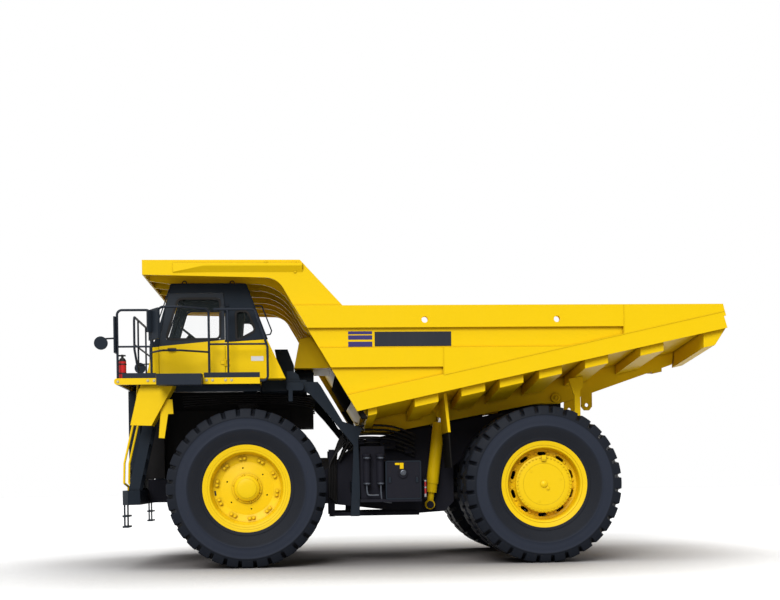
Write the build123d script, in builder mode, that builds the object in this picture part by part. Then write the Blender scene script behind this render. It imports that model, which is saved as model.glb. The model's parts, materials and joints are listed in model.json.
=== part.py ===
from build123d import *
import math
import os

os.makedirs("parts", exist_ok=True)

# Rigid mining dump truck, in millimetres. X runs forward, Y to the truck's left, Z up from the ground.
# Axles and tyres
FRONT_AXLE_X = 2797.5
WHEELBASE = 4950.0
FRONT_TRACK = 4325.0
DUAL_CENTRE_Y = 1750.0
DUAL_SPACING = 860.0
TYRE_RADIUS = 1315.0
TYRE_WIDTH = 740.0
TREAD_HALF_WIDTH = 300.0
BULGE_RADIUS = 960.0
SHOULDER_IN = 4.0
LUG_COUNT = 32
LUG_DEPTH = 105.0
SLOT_LAND = 30.0
SLOT_WIDTH = 76.0
SLOT_REACH = 270.0
BEAD_RADIUS = 640.0
BEAD_HALF_WIDTH = 238.0
BEAD_SEAT_GAP = 3.0
FLANGE_RADIUS = 745.0
RIM_HALF_WIDTH = 305.0
FRONT_SPINDLE_RADIUS = 120.0
REAR_SPINDLE_RADIUS = 200.0
KINGPIN_Y = 1480.0
RUNNING_GAP = 0.3

# Main frame
RAIL_Y = 700.0
RAIL_WIDTH = 260.0
RAIL_TOP_Z = 1480.0
RAIL_BOTTOM_Z = 1080.0
FRAME_NOSE_X = FRONT_AXLE_X + 1790.0
CLEARANCE_Z = 790.0

# Dump body
BODY_HALF_WIDTH = 2765.0
RAIL_PROUD = 65.0
SKIN = 40.0
SIDE_TOP_Z = 4285.0
CANOPY_TOP_Z = 5040.0
CANOPY_DEPTH = 295.0
CANOPY_LOW_Z = CANOPY_TOP_Z - CANOPY_DEPTH
CANOPY_REACH = 1620.0
BODY_TOE_BACK = 1826.0
BODY_TOE_Z = 2553.0
TAIL_BACK = 3076.0
TAIL_LOW_Z = 3885.0
LOWER_RAIL_HEIGHT = 268.0
FLOOR_V_DROP = 241.0
FLOOR_PLATE = 40.0
WALL_PLATE = 30.0
WALL_SET_BACK = 110.0
RIB_WIDTH = 60.0
RIB_BEND = 700.0
RIB_RUN = 1100.0
BOLSTER_DEPTH = 140.0
PIVOT_BACK = 512.0
PIVOT_Z = 2851.0
PIVOT_RADIUS = 60.0
PAD_THICKNESS = 40.0

# Hoist cylinders
HOIST_Y = 1000.0
HOIST_FOOT_AHEAD = 1795.0
HOIST_FOOT_Z = 973.0
HOIST_TOP_AHEAD = 1592.0
HOIST_TOP_Z = 2600.0
BARREL_RADIUS = 107.0
STAGE_RADIUS = 86.0
ROD_RADIUS = 62.0
HOIST_PIN_RADIUS = 50.0
HOIST_EYE_RADIUS = 85.0
HOIST_EYE_WIDTH = 140.0
PIN_PROUD = 4.0

# Deck and cab
DECK_TOP_Z = 3140.0
DECK_DEPTH = 105.0
DECK_HALF_WIDTH = 2520.0
DECK_NOSE = 2115.0
DECK_REAR = -245.0
DECK_NOSE_ROUND = 45.0
FENDER_SET_IN = 130.0
FENDER_WIDTH = 440.0
BEARER_DEPTH = 190.0
GRILLE_AHEAD = 2108.0
GRILLE_DEPTH = 200.0
TOE_BOARD_HEIGHT = 85.0
TUBE_RADIUS = 20.0
CAB_SET_IN = 270.0
CAB_WIDTH = 1690.0
CAB_WALL = 60.0
CAB_ROOF_Z = 4708.0
DOOR_THICKNESS = 45.0
DOOR_GAP = 6.0
GLASS = 8.0

# Derived stations
REAR_AXLE_X = FRONT_AXLE_X - WHEELBASE
AXLE_Z = TYRE_RADIUS
FRONT_WHEEL_Y = FRONT_TRACK / 2
RAIL_OUTER_Y = RAIL_Y + RAIL_WIDTH / 2
RAIL_INNER_Y = RAIL_Y - RAIL_WIDTH / 2
SKIN_Y = BODY_HALF_WIDTH - RAIL_PROUD
INSIDE_Y = SKIN_Y - SKIN
TOE_X = FRONT_AXLE_X - BODY_TOE_BACK
TAIL_X = REAR_AXLE_X - TAIL_BACK
PIVOT_X = REAR_AXLE_X - PIVOT_BACK
FLOOR_SLOPE = (TAIL_LOW_Z - BODY_TOE_Z) / (TOE_X - TAIL_X)
V_SLOPE = FLOOR_V_DROP / INSIDE_Y
HOIST_FOOT_X = REAR_AXLE_X + HOIST_FOOT_AHEAD
HOIST_TOP_X = REAR_AXLE_X + HOIST_TOP_AHEAD
DECK_X0 = FRONT_AXLE_X + DECK_REAR
DECK_X1 = FRONT_AXLE_X + DECK_NOSE
DECK_LOW_Z = DECK_TOP_Z - DECK_DEPTH
BEARER_LOW_Z = DECK_TOP_Z - BEARER_DEPTH
GRILLE_X = FRONT_AXLE_X + GRILLE_AHEAD
CAB_OUTER_Y = DECK_HALF_WIDTH - CAB_SET_IN
CAB_INNER_Y = CAB_OUTER_Y - CAB_WIDTH
SIDES = [("left", 1), ("right", -1)]


def side_plane(y):
    """Upright plane along the truck at y, seen from the left: x runs forward and y runs up."""
    return Plane(origin=(0, y, 0), x_dir=(1, 0, 0), z_dir=(0, -1, 0))


def from_front(points):
    """Moves (x, z) points measured from the front axle to the truck's frame."""
    return [(FRONT_AXLE_X + x, z) for x, z in points]


def from_rear(points):
    """Moves (x, z) points measured from the rear axle to the truck's frame."""
    return [(REAR_AXLE_X + x, z) for x, z in points]


def plate(points, y, width, mode=Mode.ADD):
    """Upright plate with a side outline of (x, z) points, centred on y."""
    with BuildSketch(side_plane(y)) as outline:
        with BuildLine():
            Polyline(*points, close=True)
        make_face()
    extrude(outline.sketch, amount=width / 2, both=True, mode=mode)


def block(x0, x1, y0, y1, z0, z1, mode=Mode.ADD):
    """Box between two corners."""
    with BuildSketch(Plane.XY.offset(z0)) as outline:
        with Locations(((x0 + x1) / 2, (y0 + y1) / 2)):
            Rectangle(abs(x1 - x0), abs(y1 - y0))
    extrude(outline.sketch, amount=z1 - z0, mode=mode)


def cross_bar(x, z, radius, y0, y1, mode=Mode.ADD):
    """Round bar across the truck from y0 to y1."""
    with BuildSketch(side_plane(y1)) as outline:
        with Locations((x, z)):
            Circle(radius)
    extrude(outline.sketch, amount=y1 - y0, mode=mode)


def upright_bar(x, y, radius, z0, z1, mode=Mode.ADD):
    """Round bar standing from z0 to z1."""
    with BuildSketch(Plane.XY.offset(z0)) as outline:
        with Locations((x, y)):
            Circle(radius)
    extrude(outline.sketch, amount=z1 - z0, mode=mode)


def long_bar(y, z, radius, x0, x1, mode=Mode.ADD):
    """Round bar along the truck from x0 to x1."""
    with BuildSketch(Plane(origin=(x0, 0, 0), x_dir=(0, 1, 0), z_dir=(1, 0, 0))) as outline:
        with Locations((y, z)):
            Circle(radius)
    extrude(outline.sketch, amount=x1 - x0, mode=mode)


def pipe(points, radius, bend):
    """Bent round tube along straight runs."""
    with BuildLine() as path:
        if len(points) == 2:
            Line(*points)
        else:
            FilletPolyline(*points, radius=bend)
    with BuildSketch(Plane(origin=path.line @ 0, z_dir=path.line % 0)) as outline:
        Circle(radius)
    sweep(outline.sketch, path=path.line)


def floor_low(x):
    """Height of the floor plate's underside beside the body's sides."""
    return BODY_TOE_Z + 30.0 + FLOOR_SLOPE * (TOE_X - x)


def floor_under(x, y):
    """Height of the floor plate's underside at a place."""
    return floor_low(x) - V_SLOPE * (INSIDE_Y - abs(y))


def lower_rail(x):
    """Height of the lower side rail's bottom edge."""
    return BODY_TOE_Z + FLOOR_SLOPE * (TOE_X - x)


# Tyre on a level turntable: its axis is Z, its outer face looks up.
# Each lug's pitch is a straight run of this section between two radial planes
TYRE_PROFILE = [  # radius, half width
    (BEAD_RADIUS + RUNNING_GAP, BEAD_HALF_WIDTH),
    (BULGE_RADIUS, TYRE_WIDTH / 2),
    (TYRE_RADIUS - LUG_DEPTH - SLOT_LAND, TYRE_WIDTH / 2 - SHOULDER_IN),
    (TYRE_RADIUS, TREAD_HALF_WIDTH),
]
HALF_PITCH = 180.0 / LUG_COUNT
SLOT_DROP = Vector(LUG_DEPTH, 0, -SLOT_REACH)
SLOT_FOOT = Vector(TYRE_RADIUS - LUG_DEPTH, 0, TREAD_HALF_WIDTH + 0.5 * (TYRE_WIDTH / 2 - TREAD_HALF_WIDTH))
with BuildPart() as slot_form:
    with BuildSketch(Plane(origin=SLOT_FOOT - SLOT_DROP * 0.5, x_dir=(0, 1, 0), z_dir=SLOT_DROP)):
        with BuildLine():
            Polyline((0, 0), (SLOT_WIDTH, 2 * LUG_DEPTH), (-SLOT_WIDTH, 2 * LUG_DEPTH), close=True)
        make_face()
    extrude(amount=2 * SLOT_REACH)

with BuildPart() as pitch_form:
    with BuildSketch(Plane.XZ):
        with BuildLine():
            Polyline(
                *TYRE_PROFILE,
                *[(r, -w) for r, w in reversed(TYRE_PROFILE)],
                close=True,
            )
        make_face()
    extrude(amount=TYRE_RADIUS * 2 * math.sin(math.radians(HALF_PITCH)), both=True)
    # Slots run in from both shoulders: on the outer face between pitches, on the inner face midway
    for turn in (-HALF_PITCH, HALF_PITCH):
        with Locations(Location((0, 0, 0), (0, 0, turn))):
            add(slot_form.part, mode=Mode.SUBTRACT)
    add(mirror(slot_form.part, about=Plane.XY, mode=Mode.PRIVATE), mode=Mode.SUBTRACT)
    with BuildSketch():
        with BuildLine():
            far_y = 2 * TYRE_RADIUS * math.tan(math.radians(HALF_PITCH))
            Polyline((0, 0), (2 * TYRE_RADIUS, -far_y), (2 * TYRE_RADIUS, far_y), close=True)
        make_face()
    extrude(amount=TYRE_WIDTH, both=True, mode=Mode.INTERSECT)

with BuildPart() as tyre_form:
    with PolarLocations(0, LUG_COUNT):
        add(pitch_form.part)

# Front rim with its recessed disc, hub and blind bearing bore: radius, distance out
FRONT_RIM_PROFILE = [
    (0.0, 84.0),
    (0.0, 228.0),
    (165.0, 228.0),
    (205.0, 200.0),
    (228.0, 120.0),
    (440.0, 92.0),
    (560.0, 118.0),
    (BEAD_RADIUS - 38.0, RIM_HALF_WIDTH - 16.0),
    (BEAD_RADIUS + 60.0, RIM_HALF_WIDTH - 3.0),
    (FLANGE_RADIUS, RIM_HALF_WIDTH),
    (FLANGE_RADIUS, RIM_HALF_WIDTH - 20.0),
    (BEAD_RADIUS, BEAD_HALF_WIDTH + BEAD_SEAT_GAP),
    (BEAD_RADIUS, -BEAD_HALF_WIDTH - BEAD_SEAT_GAP),
    (FLANGE_RADIUS, 20.0 - RIM_HALF_WIDTH),
    (FLANGE_RADIUS, -RIM_HALF_WIDTH),
    (BEAD_RADIUS - 26.0, -RIM_HALF_WIDTH),
    (BEAD_RADIUS - 30.0, 20.0),
    (450.0, 30.0),
    (252.0, 24.0),
    (232.0, -150.0),
    (FRONT_SPINDLE_RADIUS + RUNNING_GAP, -150.0),
    (FRONT_SPINDLE_RADIUS + RUNNING_GAP, 84.0),
]
with BuildPart() as front_rim_form:
    with BuildSketch(Plane.XZ):
        with BuildLine():
            Polyline(*FRONT_RIM_PROFILE, close=True)
        make_face()
    revolve(axis=Axis.Z)
    with BuildSketch(Plane.XY):
        with PolarLocations(346.0, 6, start_angle=41.0):
            Circle(13.0)
    extrude(amount=RIM_HALF_WIDTH, mode=Mode.SUBTRACT)

# Rear rims joined by their hub: radius, distance out from the middle of the twin tyres
HALF_DUAL = DUAL_SPACING / 2
REAR_RIM_PROFILE = [
    (0.0, 470.0),
    (0.0, 650.0),
    (118.0, 650.0),
    (122.0, 622.0),
    (305.0, 612.0),
    (347.0, 585.0),
    (352.0, 520.0),
    (505.0, 492.0),
    (590.0, 500.0),
    (BEAD_RADIUS - 38.0, HALF_DUAL + RIM_HALF_WIDTH - 16.0),
    (BEAD_RADIUS + 60.0, HALF_DUAL + RIM_HALF_WIDTH - 3.0),
    (FLANGE_RADIUS, HALF_DUAL + RIM_HALF_WIDTH),
    (FLANGE_RADIUS, HALF_DUAL + RIM_HALF_WIDTH - 20.0),
    (BEAD_RADIUS, HALF_DUAL + BEAD_HALF_WIDTH + BEAD_SEAT_GAP),
    (BEAD_RADIUS, HALF_DUAL - BEAD_HALF_WIDTH - BEAD_SEAT_GAP),
    (FLANGE_RADIUS, HALF_DUAL - RIM_HALF_WIDTH + 20.0),
    (FLANGE_RADIUS, HALF_DUAL - RIM_HALF_WIDTH),
    (BEAD_RADIUS, HALF_DUAL - RIM_HALF_WIDTH),
    (BEAD_RADIUS, RIM_HALF_WIDTH - HALF_DUAL),
    (FLANGE_RADIUS, RIM_HALF_WIDTH - HALF_DUAL),
    (FLANGE_RADIUS, RIM_HALF_WIDTH - HALF_DUAL - 20.0),
    (BEAD_RADIUS, BEAD_HALF_WIDTH + BEAD_SEAT_GAP - HALF_DUAL),
    (BEAD_RADIUS, -HALF_DUAL - BEAD_HALF_WIDTH - BEAD_SEAT_GAP),
    (FLANGE_RADIUS, 20.0 - HALF_DUAL - RIM_HALF_WIDTH),
    (FLANGE_RADIUS, -HALF_DUAL - RIM_HALF_WIDTH),
    (BEAD_RADIUS - 26.0, -HALF_DUAL - RIM_HALF_WIDTH),
    (BEAD_RADIUS - 30.0, 420.0),
    (352.0, 430.0),
    (335.0, -100.0),
    (REAR_SPINDLE_RADIUS + RUNNING_GAP, -100.0),
    (REAR_SPINDLE_RADIUS + RUNNING_GAP, 470.0),
]
with BuildPart() as rear_rim_form:
    with BuildSketch(Plane.XZ):
        with BuildLine():
            Polyline(*REAR_RIM_PROFILE, close=True)
        make_face()
    revolve(axis=Axis.Z)
    with BuildSketch(Plane.XY.offset(400.0)):
        with PolarLocations(470.0, 10):
            SlotOverall(130.0, 70.0, rotation=90)
    extrude(amount=400.0, mode=Mode.SUBTRACT)

for side, sign in SIDES:
    outward = -90 * sign
    front_hub = Location((FRONT_AXLE_X, sign * FRONT_WHEEL_Y, AXLE_Z), (outward, 0, 0))
    rear_hub = Location((REAR_AXLE_X, sign * DUAL_CENTRE_Y, AXLE_Z), (outward, 0, 0))
    with BuildPart() as front_tyre:
        with Locations(front_hub):
            add(tyre_form.part)
    front_tyre.part.label = f"front_tyre_{side}"
    export_step(front_tyre.part, f"parts/front_tyre_{side}.step")

    with BuildPart() as front_rim:
        with Locations(front_hub):
            add(front_rim_form.part)
    front_rim.part.label = f"front_rim_{side}"
    export_step(front_rim.part, f"parts/front_rim_{side}.step")

    with BuildPart() as rear_tyres:
        for offset_y in (-HALF_DUAL, HALF_DUAL):
            place = (REAR_AXLE_X, sign * (DUAL_CENTRE_Y + offset_y), AXLE_Z)
            with Locations(Location(place, (outward, 0, 0))):
                add(tyre_form.part)
    rear_tyres.part.label = f"rear_tyres_{side}"
    export_step(rear_tyres.part, f"parts/rear_tyres_{side}.step")

    with BuildPart() as rear_rims:
        with Locations(rear_hub):
            add(rear_rim_form.part)
    rear_rims.part.label = f"rear_rims_{side}"
    export_step(rear_rims.part, f"parts/rear_rims_{side}.step")

# Steering knuckles: king post, strut rod, brake housing, spindle and steering arm
ARM_TOP_Z = AXLE_Z - 310.0
POST_TOP_Z = AXLE_Z + 330.0
STRUT_BORE_TOP_Z = AXLE_Z + 640.0
STRUT_ROD_RADIUS = 95.0
for side, sign in SIDES:
    with BuildPart() as knuckle:
        upright_bar(FRONT_AXLE_X, sign * KINGPIN_Y, 140.0, ARM_TOP_Z + RUNNING_GAP, POST_TOP_Z)
        upright_bar(FRONT_AXLE_X, sign * KINGPIN_Y, STRUT_ROD_RADIUS, POST_TOP_Z, STRUT_BORE_TOP_Z - 60.0)
        near, far = sorted((sign * KINGPIN_Y, sign * (FRONT_WHEEL_Y - 190.0)))
        cross_bar(FRONT_AXLE_X, AXLE_Z, 230.0, near, far)
        near, far = sorted((sign * (KINGPIN_Y + 240.0), sign * (FRONT_WHEEL_Y - 205.0)))
        cross_bar(FRONT_AXLE_X, AXLE_Z, 400.0, near, far)
        near, far = sorted((sign * KINGPIN_Y, sign * (FRONT_WHEEL_Y + 64.0)))
        cross_bar(FRONT_AXLE_X, AXLE_Z, FRONT_SPINDLE_RADIUS, near, far)
        with BuildSketch(Plane.XY.offset(AXLE_Z - 210.0)):
            with BuildLine():
                Polyline(
                    (FRONT_AXLE_X + 60.0, sign * KINGPIN_Y),
                    (FRONT_AXLE_X - 60.0, sign * (KINGPIN_Y + 90.0)),
                    (FRONT_AXLE_X - 480.0, sign * (KINGPIN_Y - 80.0)),
                    (FRONT_AXLE_X - 480.0, sign * (KINGPIN_Y - 200.0)),
                    (FRONT_AXLE_X - 60.0, sign * (KINGPIN_Y - 110.0)),
                    close=True,
                )
            make_face()
        extrude(amount=80.0)
    knuckle.part.label = f"steering_knuckle_{side}"
    export_step(knuckle.part, f"parts/steering_knuckle_{side}.step")

# Front suspension: strut cylinders with a flat pad on their tower, and the lower arms
TOWER_FACE_Y = KINGPIN_Y - 180.0
with BuildPart() as front_suspension:
    upright_bar(FRONT_AXLE_X, KINGPIN_Y, 150.0, POST_TOP_Z + 30.0, AXLE_Z + 1390.0)
    upright_bar(FRONT_AXLE_X, KINGPIN_Y, 170.0, AXLE_Z + 1390.0, AXLE_Z + 1430.0)
    block(FRONT_AXLE_X - 120, FRONT_AXLE_X + 120, TOWER_FACE_Y, KINGPIN_Y, AXLE_Z + 1060, AXLE_Z + 1340)
    upright_bar(
        FRONT_AXLE_X,
        KINGPIN_Y,
        STRUT_ROD_RADIUS + RUNNING_GAP,
        POST_TOP_Z,
        STRUT_BORE_TOP_Z,
        mode=Mode.SUBTRACT,
    )
    with BuildSketch(Plane.XY.offset(ARM_TOP_Z - 90.0)):
        with BuildLine():
            Polyline(
                (FRONT_AXLE_X + 380.0, RAIL_OUTER_Y),
                (FRONT_AXLE_X + 380.0, RAIL_OUTER_Y + 90.0),
                (FRONT_AXLE_X + 130.0, KINGPIN_Y + 60.0),
                (FRONT_AXLE_X + 60.0, KINGPIN_Y + 130.0),
                (FRONT_AXLE_X - 60.0, KINGPIN_Y + 130.0),
                (FRONT_AXLE_X - 130.0, KINGPIN_Y + 60.0),
                (FRONT_AXLE_X - 380.0, RAIL_OUTER_Y + 90.0),
                (FRONT_AXLE_X - 380.0, RAIL_OUTER_Y),
                (FRONT_AXLE_X - 230.0, RAIL_OUTER_Y),
                (FRONT_AXLE_X, KINGPIN_Y - 200.0),
                (FRONT_AXLE_X + 230.0, RAIL_OUTER_Y),
                close=True,
            )
        make_face()
    extrude(amount=90.0)
    mirror(about=Plane.XZ)
front_suspension.part.label = "front_suspension"
export_step(front_suspension.part, "parts/front_suspension.step")

# Frame rail side outline: the top follows the dump body's beams, from the rear axle back it is free
BEAM_SLOPE = 0.184
BEAM_LOW_X = FRONT_AXLE_X - 2522.0
BEAM_LOW_Z = 2275.0


def beam_low(x):
    """Height of the dump body beams' bottom edge ahead of the pivot."""
    return BEAM_LOW_Z + BEAM_SLOPE * (BEAM_LOW_X - x)


def rail_top(x):
    """Height of the frame rails' top, one pad below the body's beams."""
    return beam_low(x) - PAD_THICKNESS - RUNNING_GAP


REAR_RAIL_END = PIVOT_X + 340.0
BRACKET_LOW_Z = PIVOT_Z - 490.0
KNEE_X = FRONT_AXLE_X - 1950.0
LOBE_X = REAR_AXLE_X + 1350.0
RAIL_OUTLINE = [
    (FRAME_NOSE_X, RAIL_BOTTOM_Z),
    (FRAME_NOSE_X, RAIL_TOP_Z),
    (FRONT_AXLE_X - 1150.0, RAIL_TOP_Z),
    (KNEE_X, rail_top(KNEE_X)),
    (REAR_RAIL_END, rail_top(REAR_RAIL_END)),
    (REAR_RAIL_END, rail_top(REAR_RAIL_END) - 330.0),
    (REAR_AXLE_X + 700.0, rail_top(REAR_AXLE_X + 700.0) - 430.0),
    (LOBE_X, 1650.0),
    (LOBE_X, 1020.0),
    (LOBE_X + 170.0, 850.0),
    (HOIST_FOOT_X + 210.0, CLEARANCE_Z + 30.0),
    (FRONT_AXLE_X - 1480.0, 1000.0),
    (FRONT_AXLE_X - 1100.0, RAIL_BOTTOM_Z),
]
PIVOT_PLATE_Y = RAIL_INNER_Y - 70.0
with BuildPart() as main_frame:
    plate(RAIL_OUTLINE, RAIL_Y, RAIL_WIDTH)
    # Pivot bracket beside the body's beam, with its pin
    plate(
        [
            (REAR_RAIL_END + 420.0, rail_top(REAR_RAIL_END + 420.0) - 30.0),
            (PIVOT_X + 150.0, PIVOT_Z + 60.0),
            (PIVOT_X + 60.0, PIVOT_Z + 140.0),
            (PIVOT_X - 60.0, PIVOT_Z + 140.0),
            (PIVOT_X - 150.0, PIVOT_Z + 40.0),
            (PIVOT_X - 150.0, BRACKET_LOW_Z),
            (PIVOT_X + 120.0, BRACKET_LOW_Z),
            (REAR_RAIL_END + 420.0, BRACKET_LOW_Z - 40.0),
        ],
        PIVOT_PLATE_Y,
        120.0,
    )
    block(
        REAR_RAIL_END + 40.0,
        REAR_RAIL_END + 360.0,
        PIVOT_PLATE_Y,
        RAIL_Y,
        rail_top(REAR_RAIL_END) - 300.0,
        rail_top(REAR_RAIL_END) - 90.0,
    )
    cross_bar(PIVOT_X, PIVOT_Z, PIVOT_RADIUS, PIVOT_PLATE_Y, RAIL_OUTER_Y + 30.0)
    # Hoist foot: boss and cantilever pin
    cross_bar(HOIST_FOOT_X, HOIST_FOOT_Z, 110.0, RAIL_OUTER_Y, HOIST_Y - HOIST_EYE_WIDTH / 2 - 8.0)
    foot_end_y = HOIST_Y + HOIST_EYE_WIDTH / 2 + 40.0
    cross_bar(HOIST_FOOT_X, HOIST_FOOT_Z, HOIST_PIN_RADIUS, RAIL_OUTER_Y, foot_end_y)
    cross_bar(
        HOIST_FOOT_X,
        HOIST_FOOT_Z,
        HOIST_PIN_RADIUS + 14.0,
        HOIST_Y + HOIST_EYE_WIDTH / 2 + 8.0,
        HOIST_Y + HOIST_EYE_WIDTH / 2 + 40.0,
    )
    # Lower arm carrier and strut tower
    block(FRONT_AXLE_X - 400, FRONT_AXLE_X + 400, RAIL_Y, RAIL_OUTER_Y, ARM_TOP_Z - 110.0, RAIL_BOTTOM_Z)
    block(FRONT_AXLE_X - 150, FRONT_AXLE_X + 150, RAIL_INNER_Y, RAIL_OUTER_Y, RAIL_TOP_Z, AXLE_Z + 1300)
    block(FRONT_AXLE_X - 150, FRONT_AXLE_X + 150, RAIL_Y, TOWER_FACE_Y, AXLE_Z + 1080, AXLE_Z + 1300)
    # Front lower post and skid tube beside the rail
    block(
        FRONT_AXLE_X - 1476.0,
        FRONT_AXLE_X - 1375.0,
        RAIL_OUTER_Y - 60.0,
        RAIL_OUTER_Y + 60.0,
        CLEARANCE_Z - 6.0,
        RAIL_TOP_Z + 490.0,
    )
    block(
        HOIST_FOOT_X + 180.0,
        FRONT_AXLE_X - 1400.0,
        RAIL_OUTER_Y - 60.0,
        RAIL_OUTER_Y + 50.0,
        CLEARANCE_Z,
        CLEARANCE_Z + 64.0,
    )
    mirror(about=Plane.XZ)
    # Cross members: x, z, radius
    for x, z, radius in [
        (FRONT_AXLE_X + 1640.0, 1280.0, 120.0),
        (FRONT_AXLE_X - 1650.0, 1150.0, 150.0),
        (HOIST_FOOT_X, HOIST_FOOT_Z + 60.0, 130.0),
        (REAR_RAIL_END + 120.0, rail_top(REAR_RAIL_END) - 210.0, 120.0),
    ]:
        cross_bar(x, z, radius, -RAIL_INNER_Y, RAIL_INNER_Y)
main_frame.part.label = "main_frame"
export_step(main_frame.part, "parts/main_frame.step")

# Rear axle: housing, differential, brake housings, spindles, links and cylinders
LINK_Z = 1115.0
SUSPENSION_X = REAR_AXLE_X - 510.0
with BuildPart() as rear_axle:
    cross_bar(REAR_AXLE_X, AXLE_Z, 250.0, -DUAL_CENTRE_Y + 710.0, DUAL_CENTRE_Y - 710.0)
    with BuildSketch(Plane((REAR_AXLE_X, 0, AXLE_Z))):
        with BuildLine():
            Polyline((0, -430), (300, -430), (480, -230), (480, 230), (300, 430), (0, 430), close=True)
        make_face()
    revolve(axis=Axis((REAR_AXLE_X, 0, AXLE_Z), (0, 1, 0)))
    long_bar(0, AXLE_Z, 170.0, REAR_AXLE_X + 300.0, REAR_AXLE_X + 640.0)
    for sign in (1, -1):
        near, far = sorted((sign * (DUAL_CENTRE_Y - 710.0), sign * (DUAL_CENTRE_Y - 150.0)))
        cross_bar(REAR_AXLE_X, AXLE_Z, 470.0, near, far)
        near, far = sorted((sign * (DUAL_CENTRE_Y - 150.0), sign * (DUAL_CENTRE_Y + 440.0)))
        cross_bar(REAR_AXLE_X, AXLE_Z, REAR_SPINDLE_RADIUS, near, far)
        block(REAR_AXLE_X, REAR_AXLE_X + 330, sign * 620, sign * 780, LINK_Z - 90, LINK_Z + 90)
        block(SUSPENSION_X - 120, REAR_AXLE_X - 100, sign * 330, sign * 570, 1240, 1440)
        # Trailing links and upright cylinders
        long_bar(sign * RAIL_Y, LINK_Z, 62.0, REAR_AXLE_X + 320.0, LOBE_X)
        upright_bar(SUSPENSION_X, sign * 450.0, 115.0, 1430.0, 1980.0)
        upright_bar(SUSPENSION_X, sign * 450.0, 80.0, 1980.0, BRACKET_LOW_Z)
rear_axle.part.label = "rear_axle"
export_step(rear_axle.part, "parts/rear_axle.step")

# Powertrain: engine as one plain block on its feet, transmission and propeller shaft
ENGINE_Y = RAIL_INNER_Y - 10.0
RADIATOR_Y = 850.0
with BuildPart() as powertrain:
    block(FRONT_AXLE_X - 700, FRONT_AXLE_X + 1500, -ENGINE_Y, ENGINE_Y, 1180, 2700)
    # Air and exhaust housings over the engine, radiator ahead of it
    block(DECK_X0 + 10, FRONT_AXLE_X + 1450, -ENGINE_Y + 60, ENGINE_Y - 60, 2700, DECK_LOW_Z - 5)
    block(FRONT_AXLE_X - 1120, DECK_X0 + 10, -ENGINE_Y + 60, ENGINE_Y - 60, 2380, BEARER_LOW_Z - 5)
    block(FRONT_AXLE_X + 1500, GRILLE_X - GRILLE_DEPTH, -RADIATOR_Y, RADIATOR_Y, 1500, DECK_LOW_Z - 5)
    for x in (FRONT_AXLE_X - 500, FRONT_AXLE_X + 1150):
        block(x, x + 200, -RAIL_Y, RAIL_Y, RAIL_TOP_Z, RAIL_TOP_Z + 80)
    long_bar(0, 1420.0, 420.0, FRONT_AXLE_X - 1450.0, FRONT_AXLE_X - 700.0)
    long_bar(0, 1420.0, 90.0, FRONT_AXLE_X - 2100.0, FRONT_AXLE_X - 1450.0)
    long_bar(0, 1420.0, 440.0, FRONT_AXLE_X - 2850.0, FRONT_AXLE_X - 2100.0)
    block(FRONT_AXLE_X - 2600, FRONT_AXLE_X - 2350, -RAIL_INNER_Y, RAIL_INNER_Y, 1350, 1480)
    pipe(
        [(FRONT_AXLE_X - 2840.0, 0, 1420.0), (REAR_AXLE_X + 646.5, 0, AXLE_Z)],
        80.0,
        0,
    )
powertrain.part.label = "powertrain"
export_step(powertrain.part, "parts/powertrain.step")

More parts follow.
